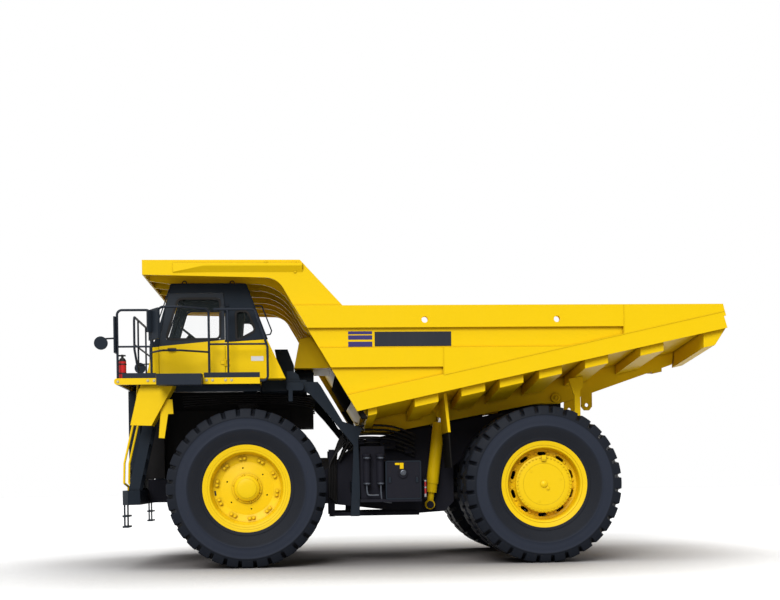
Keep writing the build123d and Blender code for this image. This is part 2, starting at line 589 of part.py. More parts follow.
# Hoist cylinders, leaning back from the frame foot to the eye under the body
lean_x = HOIST_TOP_X - HOIST_FOOT_X
lean_z = HOIST_TOP_Z - HOIST_FOOT_Z
PIN_TO_PIN = math.hypot(lean_x, lean_z)
LEAN = (lean_x / PIN_TO_PIN, 0, lean_z / PIN_TO_PIN)
BARREL_FOOT = 215.0
BARREL_END = PIN_TO_PIN - 175.0
for side, sign in SIDES:
    foot = Vector(HOIST_FOOT_X, sign * HOIST_Y, HOIST_FOOT_Z)
    near = sign * HOIST_Y - HOIST_EYE_WIDTH / 2
    far = sign * HOIST_Y + HOIST_EYE_WIDTH / 2
    stations = [0.0, BARREL_FOOT, BARREL_END]
    planes = [Plane(origin=foot + Vector(*LEAN) * s, x_dir=(0, 1, 0), z_dir=LEAN) for s in stations]
    with BuildPart() as barrel:
        cross_bar(HOIST_FOOT_X, HOIST_FOOT_Z, HOIST_EYE_RADIUS, near, far)
        with BuildSketch(planes[0]):
            Circle(56.0)
        extrude(amount=BARREL_FOOT)
        with BuildSketch(planes[1]):
            Circle(BARREL_RADIUS - 12.0)
        extrude(amount=160.0)
        with BuildSketch(planes[1].offset(160.0)):
            Circle(BARREL_RADIUS)
        extrude(amount=BARREL_END - BARREL_FOOT - 160.0)
        with BuildSketch(planes[1].offset(40.0)):
            Circle(STAGE_RADIUS + RUNNING_GAP)
        extrude(amount=BARREL_END - BARREL_FOOT, mode=Mode.SUBTRACT)
        cross_bar(HOIST_FOOT_X, HOIST_FOOT_Z, HOIST_PIN_RADIUS + RUNNING_GAP, near, far, mode=Mode.SUBTRACT)
    barrel.part.label = f"hoist_barrel_{side}"
    export_step(barrel.part, f"parts/hoist_barrel_{side}.step")

    with BuildPart() as stage:
        with BuildSketch(planes[1].offset(40.5)):
            Circle(STAGE_RADIUS)
        extrude(amount=BARREL_END - BARREL_FOOT - 25.0)
        with BuildSketch(planes[1].offset(90.0)):
            Circle(ROD_RADIUS + RUNNING_GAP)
        extrude(amount=BARREL_END - BARREL_FOOT, mode=Mode.SUBTRACT)
    stage.part.label = f"hoist_stage_{side}"
    export_step(stage.part, f"parts/hoist_stage_{side}.step")

    with BuildPart() as rod:
        with BuildSketch(planes[1].offset(90.5)):
            Circle(ROD_RADIUS)
        extrude(amount=PIN_TO_PIN - BARREL_FOOT - 90.5)
        cross_bar(HOIST_TOP_X, HOIST_TOP_Z, HOIST_EYE_RADIUS, near, far)
        cross_bar(HOIST_TOP_X, HOIST_TOP_Z, HOIST_PIN_RADIUS, near - PIN_PROUD, far + PIN_PROUD)
    rod.part.label = f"hoist_rod_{side}"
    export_step(rod.part, f"parts/hoist_rod_{side}.step")

# Dump floor: V plates, bolsters, main beams with pivot bosses, hoist ears and tail ears
TOWARDS_TAIL = Vector(-1, 0, FLOOR_SLOPE)
TAIL_LIP_X = TAIL_X + 90.0
FLOOR_START_X = TOE_X - 97.0
# Bolsters across the floor: distance of the rear edge from the tail, length
BOLSTERS = [(4853, 394), (4075, 395), (3435, 397), (2788, 382), (2006, 392), (1062, 394)]
HOIST_BAY_LOW = HOIST_Y - HOIST_EYE_WIDTH / 2 - 100.0
HOIST_BAY_HIGH = HOIST_Y + HOIST_EYE_WIDTH / 2 + 10.0


def cross_section(x, y0, y1, top, bottom):
    """Sketch across the truck at x between y0 and y1, at offsets from the floor plate's underside."""
    with BuildSketch(Plane(origin=(x, 0, 0), x_dir=(0, 1, 0), z_dir=(1, 0, 0))) as outline:
        with BuildLine():
            Polyline(
                (y0, floor_under(x, y0) + bottom),
                (y1, floor_under(x, y1) + bottom),
                (y1, floor_under(x, y1) + top),
                (y0, floor_under(x, y0) + top),
                close=True,
            )
        make_face()
    return outline.sketch


with BuildPart() as dump_floor:
    plate_end = cross_section(FLOOR_START_X, 0, INSIDE_Y, FLOOR_PLATE, 0)
    extrude(plate_end, amount=(FLOOR_START_X - TAIL_LIP_X) * TOWARDS_TAIL.length, dir=TOWARDS_TAIL)
    for from_tail, length in BOLSTERS:
        start = TAIL_X + from_tail + length
        bolster_end = cross_section(start, RAIL_Y, INSIDE_Y, 10, -BOLSTER_DEPTH - 30)
        extrude(bolster_end, amount=length * TOWARDS_TAIL.length, dir=TOWARDS_TAIL)
    # Tail bolster, cut back under the lip
    bolster_end = cross_section(TAIL_X + 379.0, RAIL_Y, INSIDE_Y, 10, -BOLSTER_DEPTH - 130)
    extrude(bolster_end, amount=379.0 * TOWARDS_TAIL.length, dir=TOWARDS_TAIL)
    plate(
        [
            (TAIL_X + 190.0, TAIL_LOW_Z - 900.0),
            (TAIL_X + 190.0, lower_rail(TAIL_X) - 290.0),
            (TAIL_X, lower_rail(TAIL_X)),
            (TAIL_X - 10.0, TAIL_LOW_Z + 200.0),
            (TAIL_X - 400.0, TAIL_LOW_Z + 200.0),
            (TAIL_X - 400.0, TAIL_LOW_Z - 900.0),
        ],
        INSIDE_Y / 2,
        INSIDE_Y + 20.0,
        mode=Mode.SUBTRACT,
    )
    # Front bolster under the toe
    bolster_end = cross_section(TOE_X - 180.0, RAIL_Y, INSIDE_Y, 10, -BOLSTER_DEPTH)
    extrude(bolster_end, amount=150.0 * TOWARDS_TAIL.length, dir=TOWARDS_TAIL)
    # Main beam
    plate(
        [
            (TOE_X - 198.0, floor_under(TOE_X - 198.0, RAIL_Y) + 15.0),
            (TOE_X - 198.0, BEAM_LOW_Z + 10.0),
            (BEAM_LOW_X, BEAM_LOW_Z),
            (PIVOT_X + 330.0, beam_low(PIVOT_X + 330.0)),
            (PIVOT_X - 90.0, beam_low(PIVOT_X + 330.0)),
            (PIVOT_X - 480.0, PIVOT_Z + 20.0),
            (TAIL_X + 420.0, TAIL_LOW_Z - 450.0),
            (TAIL_X + 379.0, floor_under(TAIL_X + 379.0, RAIL_Y) + 15.0),
        ],
        RAIL_Y,
        RAIL_WIDTH,
    )
    cross_bar(PIVOT_X, PIVOT_Z, 85.0, RAIL_OUTER_Y, RAIL_OUTER_Y + 22.0)
    # Tail ear with its open hole
    plate(
        from_rear([(-986, 2960), (-986, 2690), (-1040, 2622), (-1130, 2622), (-1184, 2690), (-1184, 3010)]),
        RAIL_OUTER_Y - 25.0,
        50.0,
    )
    lock_y = (RAIL_OUTER_Y - 60.0, RAIL_OUTER_Y + 10.0)
    cross_bar(REAR_AXLE_X - 1085.0, 2718.0, 34.0, *lock_y, mode=Mode.SUBTRACT)
    # Hoist bay: clear up to the floor plate between the beam and the outer ear
    plate(
        [
            (HOIST_TOP_X - 330.0, HOIST_TOP_Z - 300.0),
            (HOIST_TOP_X + 330.0, HOIST_TOP_Z - 300.0),
            (HOIST_TOP_X + 330.0, floor_under(HOIST_TOP_X + 330.0, RAIL_OUTER_Y) - 1.0),
            (HOIST_TOP_X - 330.0, floor_under(HOIST_TOP_X - 330.0, RAIL_OUTER_Y) - 1.0),
        ],
        (RAIL_OUTER_Y + HOIST_BAY_HIGH) / 2,
        HOIST_BAY_HIGH - RAIL_OUTER_Y,
        mode=Mode.SUBTRACT,
    )
    plate(
        [
            (HOIST_TOP_X + 190.0, floor_under(HOIST_TOP_X + 190.0, HOIST_BAY_HIGH) + 10.0),
            (HOIST_TOP_X + 80.0, HOIST_TOP_Z - 60.0),
            (HOIST_TOP_X + 40.0, HOIST_TOP_Z - 95.0),
            (HOIST_TOP_X - 40.0, HOIST_TOP_Z - 95.0),
            (HOIST_TOP_X - 80.0, HOIST_TOP_Z - 60.0),
            (HOIST_TOP_X - 190.0, floor_under(HOIST_TOP_X - 190.0, HOIST_BAY_HIGH) + 10.0),
        ],
        HOIST_BAY_HIGH + 27.0,
        40.0,
    )
    cross_bar(HOIST_TOP_X, HOIST_TOP_Z, 70.0, HOIST_BAY_HIGH + 40.0, HOIST_BAY_HIGH + 75.0)
    pin_y = (RAIL_Y - 200.0, RAIL_OUTER_Y + 60.0)
    cross_bar(PIVOT_X, PIVOT_Z, PIVOT_RADIUS + RUNNING_GAP, *pin_y, mode=Mode.SUBTRACT)
    mirror(about=Plane.XZ)
dump_floor.part.label = "dump_floor"
export_step(dump_floor.part, "parts/dump_floor.step")

# Dump front wall and canopy: one bent plate, ribs under it, front lip and exhaust inlet box
WALL_RUN = (FRONT_AXLE_X - 918.0 - TOE_X) / (4115.0 - BODY_TOE_Z)


def wall_front(z):
    """Station of the body side's front edge at a height."""
    return TOE_X + WALL_RUN * (z - BODY_TOE_Z)


NOSE_X = FRONT_AXLE_X + CANOPY_REACH
PLATE_TOP_Z = CANOPY_TOP_Z - 40.0
RIB_LOW_Z = CANOPY_LOW_Z - 7.0
RIB_YS = [405.0, 1215.0, 2025.0]
with BuildPart() as dump_front_wall:
    with BuildSketch(side_plane(INSIDE_Y)) as wall_sketch:
        with BuildLine():
            FilletPolyline(
                (wall_front(BODY_TOE_Z) - WALL_SET_BACK - WALL_PLATE, BODY_TOE_Z),
                (wall_front(PLATE_TOP_Z) - WALL_SET_BACK - WALL_PLATE, PLATE_TOP_Z),
                (NOSE_X, PLATE_TOP_Z),
                radius=520.0,
            )
            Line((NOSE_X, PLATE_TOP_Z), (NOSE_X, PLATE_TOP_Z - WALL_PLATE))
            FilletPolyline(
                (NOSE_X, PLATE_TOP_Z - WALL_PLATE),
                (wall_front(PLATE_TOP_Z - WALL_PLATE) - WALL_SET_BACK, PLATE_TOP_Z - WALL_PLATE),
                (wall_front(BODY_TOE_Z) - WALL_SET_BACK, BODY_TOE_Z),
                radius=480.0,
            )
            Line(
                (wall_front(BODY_TOE_Z) - WALL_SET_BACK, BODY_TOE_Z),
                (wall_front(BODY_TOE_Z) - WALL_SET_BACK - WALL_PLATE, BODY_TOE_Z),
            )
        make_face()
    extrude(amount=2 * INSIDE_Y)
    # Ribs follow the plate from the lip round the bend and run out on the wall
    rib_foot_z = PLATE_TOP_Z - RIB_RUN
    for rib_y in RIB_YS:
        with BuildSketch(side_plane(rib_y + RIB_WIDTH / 2)):
            with BuildLine():
                FilletPolyline(
                    (wall_front(rib_foot_z) - WALL_SET_BACK - 10.0, rib_foot_z),
                    (wall_front(PLATE_TOP_Z - 40.0) - WALL_SET_BACK - 10.0, PLATE_TOP_Z - WALL_PLATE + 10.0),
                    (NOSE_X - 15.0, PLATE_TOP_Z - WALL_PLATE + 10.0),
                    radius=485.0,
                )
                Line((NOSE_X - 15.0, PLATE_TOP_Z - WALL_PLATE + 10.0), (NOSE_X - 15.0, RIB_LOW_Z + 60.0))
                FilletPolyline(
                    (NOSE_X - 15.0, RIB_LOW_Z + 60.0),
                    (NOSE_X - 400.0, RIB_LOW_Z),
                    (wall_front(RIB_LOW_Z) - 10.0, RIB_LOW_Z),
                    (wall_front(rib_foot_z + 150.0) - 10.0, rib_foot_z + 150.0),
                    (wall_front(rib_foot_z) - WALL_SET_BACK - 10.0, rib_foot_z),
                    radius=[60.0, RIB_BEND, 60.0],
                )
            make_face()
        extrude(amount=RIB_WIDTH)
    mirror(about=Plane.XZ)
    # Front lip
    block(NOSE_X - 30.0, NOSE_X, -INSIDE_Y, INSIDE_Y, CANOPY_LOW_Z + 55.0, PLATE_TOP_Z)
    # Exhaust inlet box low on the wall
    plate(
        [
            (wall_front(3414.0) - WALL_SET_BACK - 10.0, 3414.0),
            (FRONT_AXLE_X - 789.0, 3414.0),
            (FRONT_AXLE_X - 892.0, 3927.0),
            (wall_front(3980.0) - WALL_SET_BACK - 10.0, 3980.0),
        ],
        0,
        1800.0,
    )
    # The V floor closes the wall's foot
    for sign in (1, -1):
        with BuildSketch(Plane(origin=(TOE_X + 200.0, 0, 0), x_dir=(0, 1, 0), z_dir=(1, 0, 0))):
            with BuildLine():
                Polyline(
                    (0, floor_under(TOE_X + 200.0, 0) + FLOOR_PLATE),
                    (sign * (INSIDE_Y + 1.0), floor_under(TOE_X + 200.0, INSIDE_Y + 1.0) + FLOOR_PLATE),
                    (sign * (INSIDE_Y + 1.0), 1800.0),
                    (0, 1800.0),
                    close=True,
                )
            make_face()
        extrude(amount=1500.0, dir=TOWARDS_TAIL, mode=Mode.SUBTRACT)
dump_front_wall.part.label = "dump_front_wall"
export_step(dump_front_wall.part, "parts/dump_front_wall.step")

# Dump sides: skin, rails and flush panels, canopy side and its folded guard
MID_RAIL_TOP_Z = 3588.0
MID_RAIL_LOW_Z = 3272.0
TOP_RAIL_LOW_Z = 3920.0
REAR_PANEL_X = REAR_AXLE_X - 1313.0
MID_PANEL_X = REAR_AXLE_X + 1699.0
TAIL_TOP_X = TAIL_X + 71.0


def lower_rail_top(x):
    """Height of the lower side rail's top edge."""
    return lower_rail(x) + LOWER_RAIL_HEIGHT


MID_PANEL_END = TOE_X - (MID_RAIL_TOP_Z - BODY_TOE_Z - LOWER_RAIL_HEIGHT) / FLOOR_SLOPE
GUARD_REAR_X = FRONT_AXLE_X - 964.0
GUARD_BREAK_X = FRONT_AXLE_X + 638.0
GUARD_FRONT_X = FRONT_AXLE_X + 1123.0
with BuildPart() as dump_side_left:
    # Skin with the canopy bend in its front edge
    with BuildSketch(side_plane(SKIN_Y)):
        with BuildLine():
            FilletPolyline(
                (TOE_X, BODY_TOE_Z),
                (wall_front(CANOPY_LOW_Z), CANOPY_LOW_Z),
                (NOSE_X, CANOPY_LOW_Z + 55.0),
                radius=330.0,
            )
            Polyline(
                (NOSE_X, CANOPY_LOW_Z + 55.0),
                (NOSE_X, CANOPY_TOP_Z),
                (FRONT_AXLE_X - 926.0, CANOPY_TOP_Z),
                (FRONT_AXLE_X - 1619.0, SIDE_TOP_Z),
                (TAIL_TOP_X, SIDE_TOP_Z),
                (TAIL_X, TAIL_LOW_Z),
                (TOE_X, BODY_TOE_Z),
            )
        make_face()
    extrude(amount=SKIN)
    rail_y = SKIN_Y + RAIL_PROUD / 2
    # Top rail, with its pair of through holes cut at the end
    plate(
        [
            (wall_front(TOP_RAIL_LOW_Z), TOP_RAIL_LOW_Z),
            (wall_front(SIDE_TOP_Z), SIDE_TOP_Z),
            (REAR_PANEL_X, SIDE_TOP_Z),
            (REAR_PANEL_X, TOP_RAIL_LOW_Z),
        ],
        rail_y,
        RAIL_PROUD,
    )
    # Flush rear panel
    plate(
        [
            (REAR_PANEL_X, SIDE_TOP_Z),
            (TAIL_TOP_X, SIDE_TOP_Z),
            (TAIL_X + 20.0, lower_rail_top(TAIL_X + 20.0) - 60.0),
            (REAR_PANEL_X, lower_rail_top(REAR_PANEL_X) - 60.0),
        ],
        rail_y,
        RAIL_PROUD,
    )
    # Lower rail
    plate(
        [
            (TOE_X, BODY_TOE_Z),
            (wall_front(2815.0), 2815.0),
            (TAIL_TOP_X + 2.0, lower_rail_top(TAIL_TOP_X)),
            (TAIL_X, TAIL_LOW_Z),
        ],
        rail_y,
        RAIL_PROUD,
    )
    # Mid rail and the flush panel behind it
    plate(
        [
            (wall_front(MID_RAIL_TOP_Z), MID_RAIL_TOP_Z),
            (MID_PANEL_END, MID_RAIL_TOP_Z),
            (MID_PANEL_X, lower_rail_top(MID_PANEL_X) - 40.0),
            (MID_PANEL_X, MID_RAIL_LOW_Z),
            (wall_front(MID_RAIL_LOW_Z), MID_RAIL_LOW_Z),
        ],
        rail_y,
        RAIL_PROUD,
    )
    for x in (FRONT_AXLE_X - 2954.0, FRONT_AXLE_X - 5148.0):
        cross_bar(x, 4046.0, 52.0, INSIDE_Y - 10.0, BODY_HALF_WIDTH + 10.0, mode=Mode.SUBTRACT)
    # Folded guard along the canopy side, tapering to its front end
    guard_rear = [(SKIN_Y, 4990.0), (BODY_HALF_WIDTH, 4972.0), (BODY_HALF_WIDTH, 4935.0), (SKIN_Y, 4838.0)]
    with BuildSketch(Plane(origin=(GUARD_REAR_X, 0, 0), x_dir=(0, 1, 0), z_dir=(1, 0, 0))):
        with BuildLine():
            Polyline(*guard_rear, close=True)
        make_face()
    extrude(amount=GUARD_BREAK_X - GUARD_REAR_X)
    with BuildSketch(Plane(origin=(GUARD_BREAK_X, 0, 0), x_dir=(0, 1, 0), z_dir=(1, 0, 0))):
        with BuildLine():
            Polyline(*guard_rear, close=True)
        make_face()
    with BuildSketch(Plane(origin=(GUARD_FRONT_X, 0, 0), x_dir=(0, 1, 0), z_dir=(1, 0, 0))):
        with BuildLine():
            Polyline(
                (SKIN_Y, 4992.0),
                (SKIN_Y + 14.0, 4988.0),
                (SKIN_Y + 14.0, 4840.0),
                (SKIN_Y, 4830.0),
                close=True,
            )
        make_face()
    loft()
dump_side_left.part.label = "dump_side_left"
export_step(dump_side_left.part, "parts/dump_side_left.step")

with BuildPart() as dump_side_right:
    mirror(dump_side_left.part, about=Plane.XZ)
dump_side_right.part.label = "dump_side_right"
export_step(dump_side_right.part, "parts/dump_side_right.step")

# Rubber pads between the body's beams and the frame, with the seals and the sheet at the wall's foot
SHEET_TOP_Z = 3270.0
SHEET_LOW_Z = 2810.0
with BuildPart() as body_pads:
    for start in (BEAM_LOW_X - 60.0, BEAM_LOW_X - 1000.0, BEAM_LOW_X - 1940.0):
        end = start - 620.0
        for sign in (1, -1):
            plate(
                [
                    (start, beam_low(start)),
                    (start, beam_low(start) - PAD_THICKNESS),
                    (end, beam_low(end) - PAD_THICKNESS),
                    (end, beam_low(end)),
                ],
                sign * RAIL_Y,
                RAIL_WIDTH - 40.0,
            )
    for sign in (1, -1):
        plate(
            [
                (wall_front(2800.0) - WALL_SET_BACK, 2800.0),
                (wall_front(2800.0) - 20.0, 2800.0),
                (wall_front(2440.0) - 20.0, 2440.0),
                (wall_front(2440.0) - WALL_SET_BACK, 2440.0),
            ],
            sign * (INSIDE_Y - 160.0),
            300.0,
        )
    # Sheet over the wall's foot
    plate(
        [
            (wall_front(SHEET_TOP_Z) - WALL_SET_BACK, SHEET_TOP_Z),
            (wall_front(SHEET_TOP_Z) - WALL_SET_BACK + 16.0, SHEET_TOP_Z),
            (wall_front(SHEET_LOW_Z) - WALL_SET_BACK + 16.0, SHEET_LOW_Z),
            (wall_front(SHEET_LOW_Z) - WALL_SET_BACK, SHEET_LOW_Z),
        ],
        0,
        2 * INSIDE_Y - 10.0,
    )
body_pads.part.label = "body_pads"
export_step(body_pads.part, "parts/body_pads.step")

# Mud guard plates hung from the body ahead of the rear tyres, and their rubber flaps
FLAP_X = REAR_AXLE_X + 1570.0
FLAP_LOW_Y = HOIST_BAY_HIGH + 90.0
FLAP_HIGH_Y = BODY_HALF_WIDTH - 465.0
with BuildPart() as mud_guard_plates:
    for sign in (1, -1):
        plate(
            [
                (FLAP_X + 70.0, floor_under(FLAP_X + 70.0, FLAP_LOW_Y) - 1.0),
                (FLAP_X + 58.0, floor_under(FLAP_X + 58.0, FLAP_LOW_Y) - 1.0),
                (FLAP_X - 12.0, 2207.0),
                (FLAP_X, 2207.0),
            ],
            sign * (FLAP_LOW_Y + FLAP_HIGH_Y) / 2,
            FLAP_HIGH_Y - FLAP_LOW_Y,
        )
        plate(
            [
                (FLAP_X + 92.0, floor_under(FLAP_X + 92.0, FLAP_HIGH_Y) - 1.0),
                (FLAP_X + 36.0, floor_under(FLAP_X + 36.0, FLAP_HIGH_Y) - 1.0),
                (FLAP_X - 22.0, 2207.0),
                (FLAP_X + 22.0, 2207.0),
            ],
            sign * (FLAP_HIGH_Y + 10.0),
            20.0,
        )
mud_guard_plates.part.label = "mud_guard_plates"
export_step(mud_guard_plates.part, "parts/mud_guard_plates.step")

with BuildPart() as mud_flaps:
    for sign in (1, -1):
        plate(
            [
                (FLAP_X + 14.0, 2207.0 - RUNNING_GAP),
                (FLAP_X - 10.0, 2207.0 - RUNNING_GAP),
                (FLAP_X - 45.0, 1615.0),
                (FLAP_X - 25.0, 1615.0),
            ],
            sign * (FLAP_LOW_Y + FLAP_HIGH_Y) / 2,
            FLAP_HIGH_Y - FLAP_LOW_Y - 40.0,
        )
mud_flaps.part.label = "mud_flaps"
export_step(mud_flaps.part, "parts/mud_flaps.step")

# Rock ejector bars between the twin tyres
EJECTOR_X = REAR_AXLE_X - 725.0


def ejector_seat(x):
    """Height of the bolsters' underside over the ejector bars, less a small gap."""
    return floor_under(x, DUAL_CENTRE_Y - 25.0) - BOLSTER_DEPTH - 30.0 - RUNNING_GAP


with BuildPart() as rock_ejectors:
    for sign in (1, -1):
        plate(
            [
                (EJECTOR_X + 150.0, ejector_seat(EJECTOR_X + 150.0)),
                (EJECTOR_X + 70.0, 2860.0),
                (EJECTOR_X + 52.0, 2850.0),
                (EJECTOR_X + 52.0, AXLE_Z + 820.0),
                (EJECTOR_X - 50.0, AXLE_Z + 820.0),
                (EJECTOR_X - 50.0, 2930.0),
                (EJECTOR_X - 98.0, 2974.0),
                (EJECTOR_X - 98.0, ejector_seat(EJECTOR_X - 98.0)),
            ],
            sign * DUAL_CENTRE_Y,
            50.0,
        )
rock_ejectors.part.label = "rock_ejectors"
export_step(rock_ejectors.part, "parts/rock_ejectors.step")

# Front bumper with its hanging steps
BUMPER_LOW_Z = 1064.0
BUMPER_TOP_Z = 1304.0
BUMPER_NOSE_X = FRONT_AXLE_X + 2090.0
with BuildPart() as front_bumper:
    with BuildSketch(Plane.XY.offset(BUMPER_LOW_Z)):
        with BuildLine():
            Polyline(
                (FRAME_NOSE_X, -2000.0),
                (FRAME_NOSE_X + 190.0, -2080.0),
                (BUMPER_NOSE_X, -1900.0),
                (BUMPER_NOSE_X, 1900.0),
                (FRAME_NOSE_X + 190.0, 2080.0),
                (FRAME_NOSE_X, 2000.0),
                close=True,
            )
        make_face()
    extrude(amount=BUMPER_TOP_Z - BUMPER_LOW_Z)
    for sign in (1, -1):
        for edge in (1480.0, 1880.0):
            block(
                BUMPER_NOSE_X - 40.0,
                BUMPER_NOSE_X - 15.0,
                sign * edge - 15.0,
                sign * edge + 15.0,
                680.0,
                BUMPER_LOW_Z,
            )
        for z in (680.0, 860.0):
            block(
                BUMPER_NOSE_X - 90.0,
                BUMPER_NOSE_X + 10.0,
                sign * 1465.0,
                sign * 1895.0,
                z,
                z + 30.0,
            )
front_bumper.part.label = "front_bumper"
export_step(front_bumper.part, "parts/front_bumper.step")

# Radiator grille: frame, core and slats
GRILLE_HALF = 900.0
GRILLE_TOP_Z = DECK_TOP_Z - DECK_DEPTH
with BuildPart() as radiator_grille:
    block(GRILLE_X - GRILLE_DEPTH, GRILLE_X, -GRILLE_HALF, GRILLE_HALF, BUMPER_TOP_Z, GRILLE_TOP_Z)
    block(
        GRILLE_X - 60.0,
        GRILLE_X + 1.0,
        -GRILLE_HALF + 70.0,
        GRILLE_HALF - 70.0,
        BUMPER_TOP_Z + 70.0,
        GRILLE_TOP_Z - 70.0,
        mode=Mode.SUBTRACT,
    )
    slat_rows = 14
    pitch = (GRILLE_TOP_Z - BUMPER_TOP_Z - 140.0) / slat_rows
    for row in range(1, slat_rows):
        z = BUMPER_TOP_Z + 70.0 + row * pitch
        block(GRILLE_X - 60.0, GRILLE_X - 12.0, -GRILLE_HALF + 70.0, GRILLE_HALF - 70.0, z - 12.0, z + 12.0)
    block(
        GRILLE_X - 60.0,
        GRILLE_X - 4.0,
        -25.0,
        25.0,
        BUMPER_TOP_Z + 70.0,
        GRILLE_TOP_Z - 70.0,
    )
radiator_grille.part.label = "radiator_grille"
export_step(radiator_grille.part, "parts/radiator_grille.step")

# Headlamps beside the grille, in pairs
LAMP_ROOT_X = GRILLE_X - 200.0
with BuildPart() as headlamps:
    for sign in (1, -1):
        near, far = sorted((sign * GRILLE_HALF, sign * (GRILLE_HALF + 210.0)))
        block(LAMP_ROOT_X, LAMP_ROOT_X + 130.0, near, far, BUMPER_TOP_Z + 30.0, BUMPER_TOP_Z + 470.0)
        for z in (BUMPER_TOP_Z + 145.0, BUMPER_TOP_Z + 355.0):
            long_bar(sign * (GRILLE_HALF + 105.0), z, 82.0, LAMP_ROOT_X + 130.0, LAMP_ROOT_X + 150.0)
headlamps.part.label = "headlamps"
export_step(headlamps.part, "parts/headlamps.step")

# Deck: plate in a yellow edge beam, with the front fender panels under it
FENDER_Y = DECK_HALF_WIDTH - FENDER_SET_IN
FENDER_STAY = [
    (1290, 2800),
    (1200, 2800),
    (1185, 2560),
    (1272, 2560),
    (1335, 2160),
    (1430, 2167),
    (1395, 2580),
    (1410, 2640),
]
DECK_OUTLINE = [
    (DECK_X0, -DECK_HALF_WIDTH),
    (DECK_X1, -DECK_HALF_WIDTH),
    (DECK_X1, DECK_HALF_WIDTH),
    (DECK_X0, DECK_HALF_WIDTH),
]
with BuildPart() as deck:
    with BuildSketch(Plane.XY.offset(DECK_LOW_Z)) as deck_sketch:
        with BuildLine():
            Polyline(*DECK_OUTLINE, close=True)
        make_face()
    extrude(amount=DECK_DEPTH)
    fillet(deck.edges().filter_by(Axis.Y).group_by(Axis.X)[-1], radius=DECK_NOSE_ROUND)
    with BuildSketch(Plane.XY.offset(DECK_LOW_Z)):
        add(deck_sketch.sketch_local)
        offset(amount=-70.0, mode=Mode.REPLACE)
    extrude(amount=DECK_DEPTH - 25.0, mode=Mode.SUBTRACT)
    # Cross bearers over the towers and the rails
    for x in (FRONT_AXLE_X - 60.0, FRONT_AXLE_X + 1560.0):
        block(x, x + 120.0, -DECK_HALF_WIDTH + 70.0, DECK_HALF_WIDTH - 70.0, DECK_LOW_Z, DECK_TOP_Z - 25.0)
    # Fender panels
    for sign in (1, -1):
        plate(
            from_front([(1706, DECK_LOW_Z), (1168, DECK_LOW_Z), (1540, 2367), (1880, 2379), (1761, 2894)]),
            sign * FENDER_Y,
            20.0,
        )
        near, far = sorted((sign * (FENDER_Y - FENDER_WIDTH), sign * FENDER_Y))
        plate(
            from_front([(1168, DECK_LOW_Z), (1190, DECK_LOW_Z), (1562, 2367), (1540, 2367)]),
            (near + far) / 2,
            far - near,
        )
        plate(from_front(FENDER_STAY), sign * (FENDER_Y - 60.0), 14.0)
        # Grab rails beside the ladders
        for y in (1420.0, 2020.0):
            foot_y = y + (40.0 if y < 1700 else -120.0)
            pipe(
                [
                    (FRONT_AXLE_X + 1800.0, sign * y, DECK_TOP_Z - 30.0),
                    (FRONT_AXLE_X + 1815.0, sign * y, 2700.0),
                    (FRONT_AXLE_X + 2035.0, sign * y, 1760.0),
                    (FRONT_AXLE_X + 2045.0, sign * y, 1430.0),
                    (FRONT_AXLE_X + 1990.0, sign * foot_y, BUMPER_TOP_Z + 70.0),
                    (FRONT_AXLE_X + 1990.0, sign * foot_y, BUMPER_TOP_Z),
                ],
                19.0,
                30.0,
            )
deck.part.label = "deck"
export_step(deck.part, "parts/deck.step")

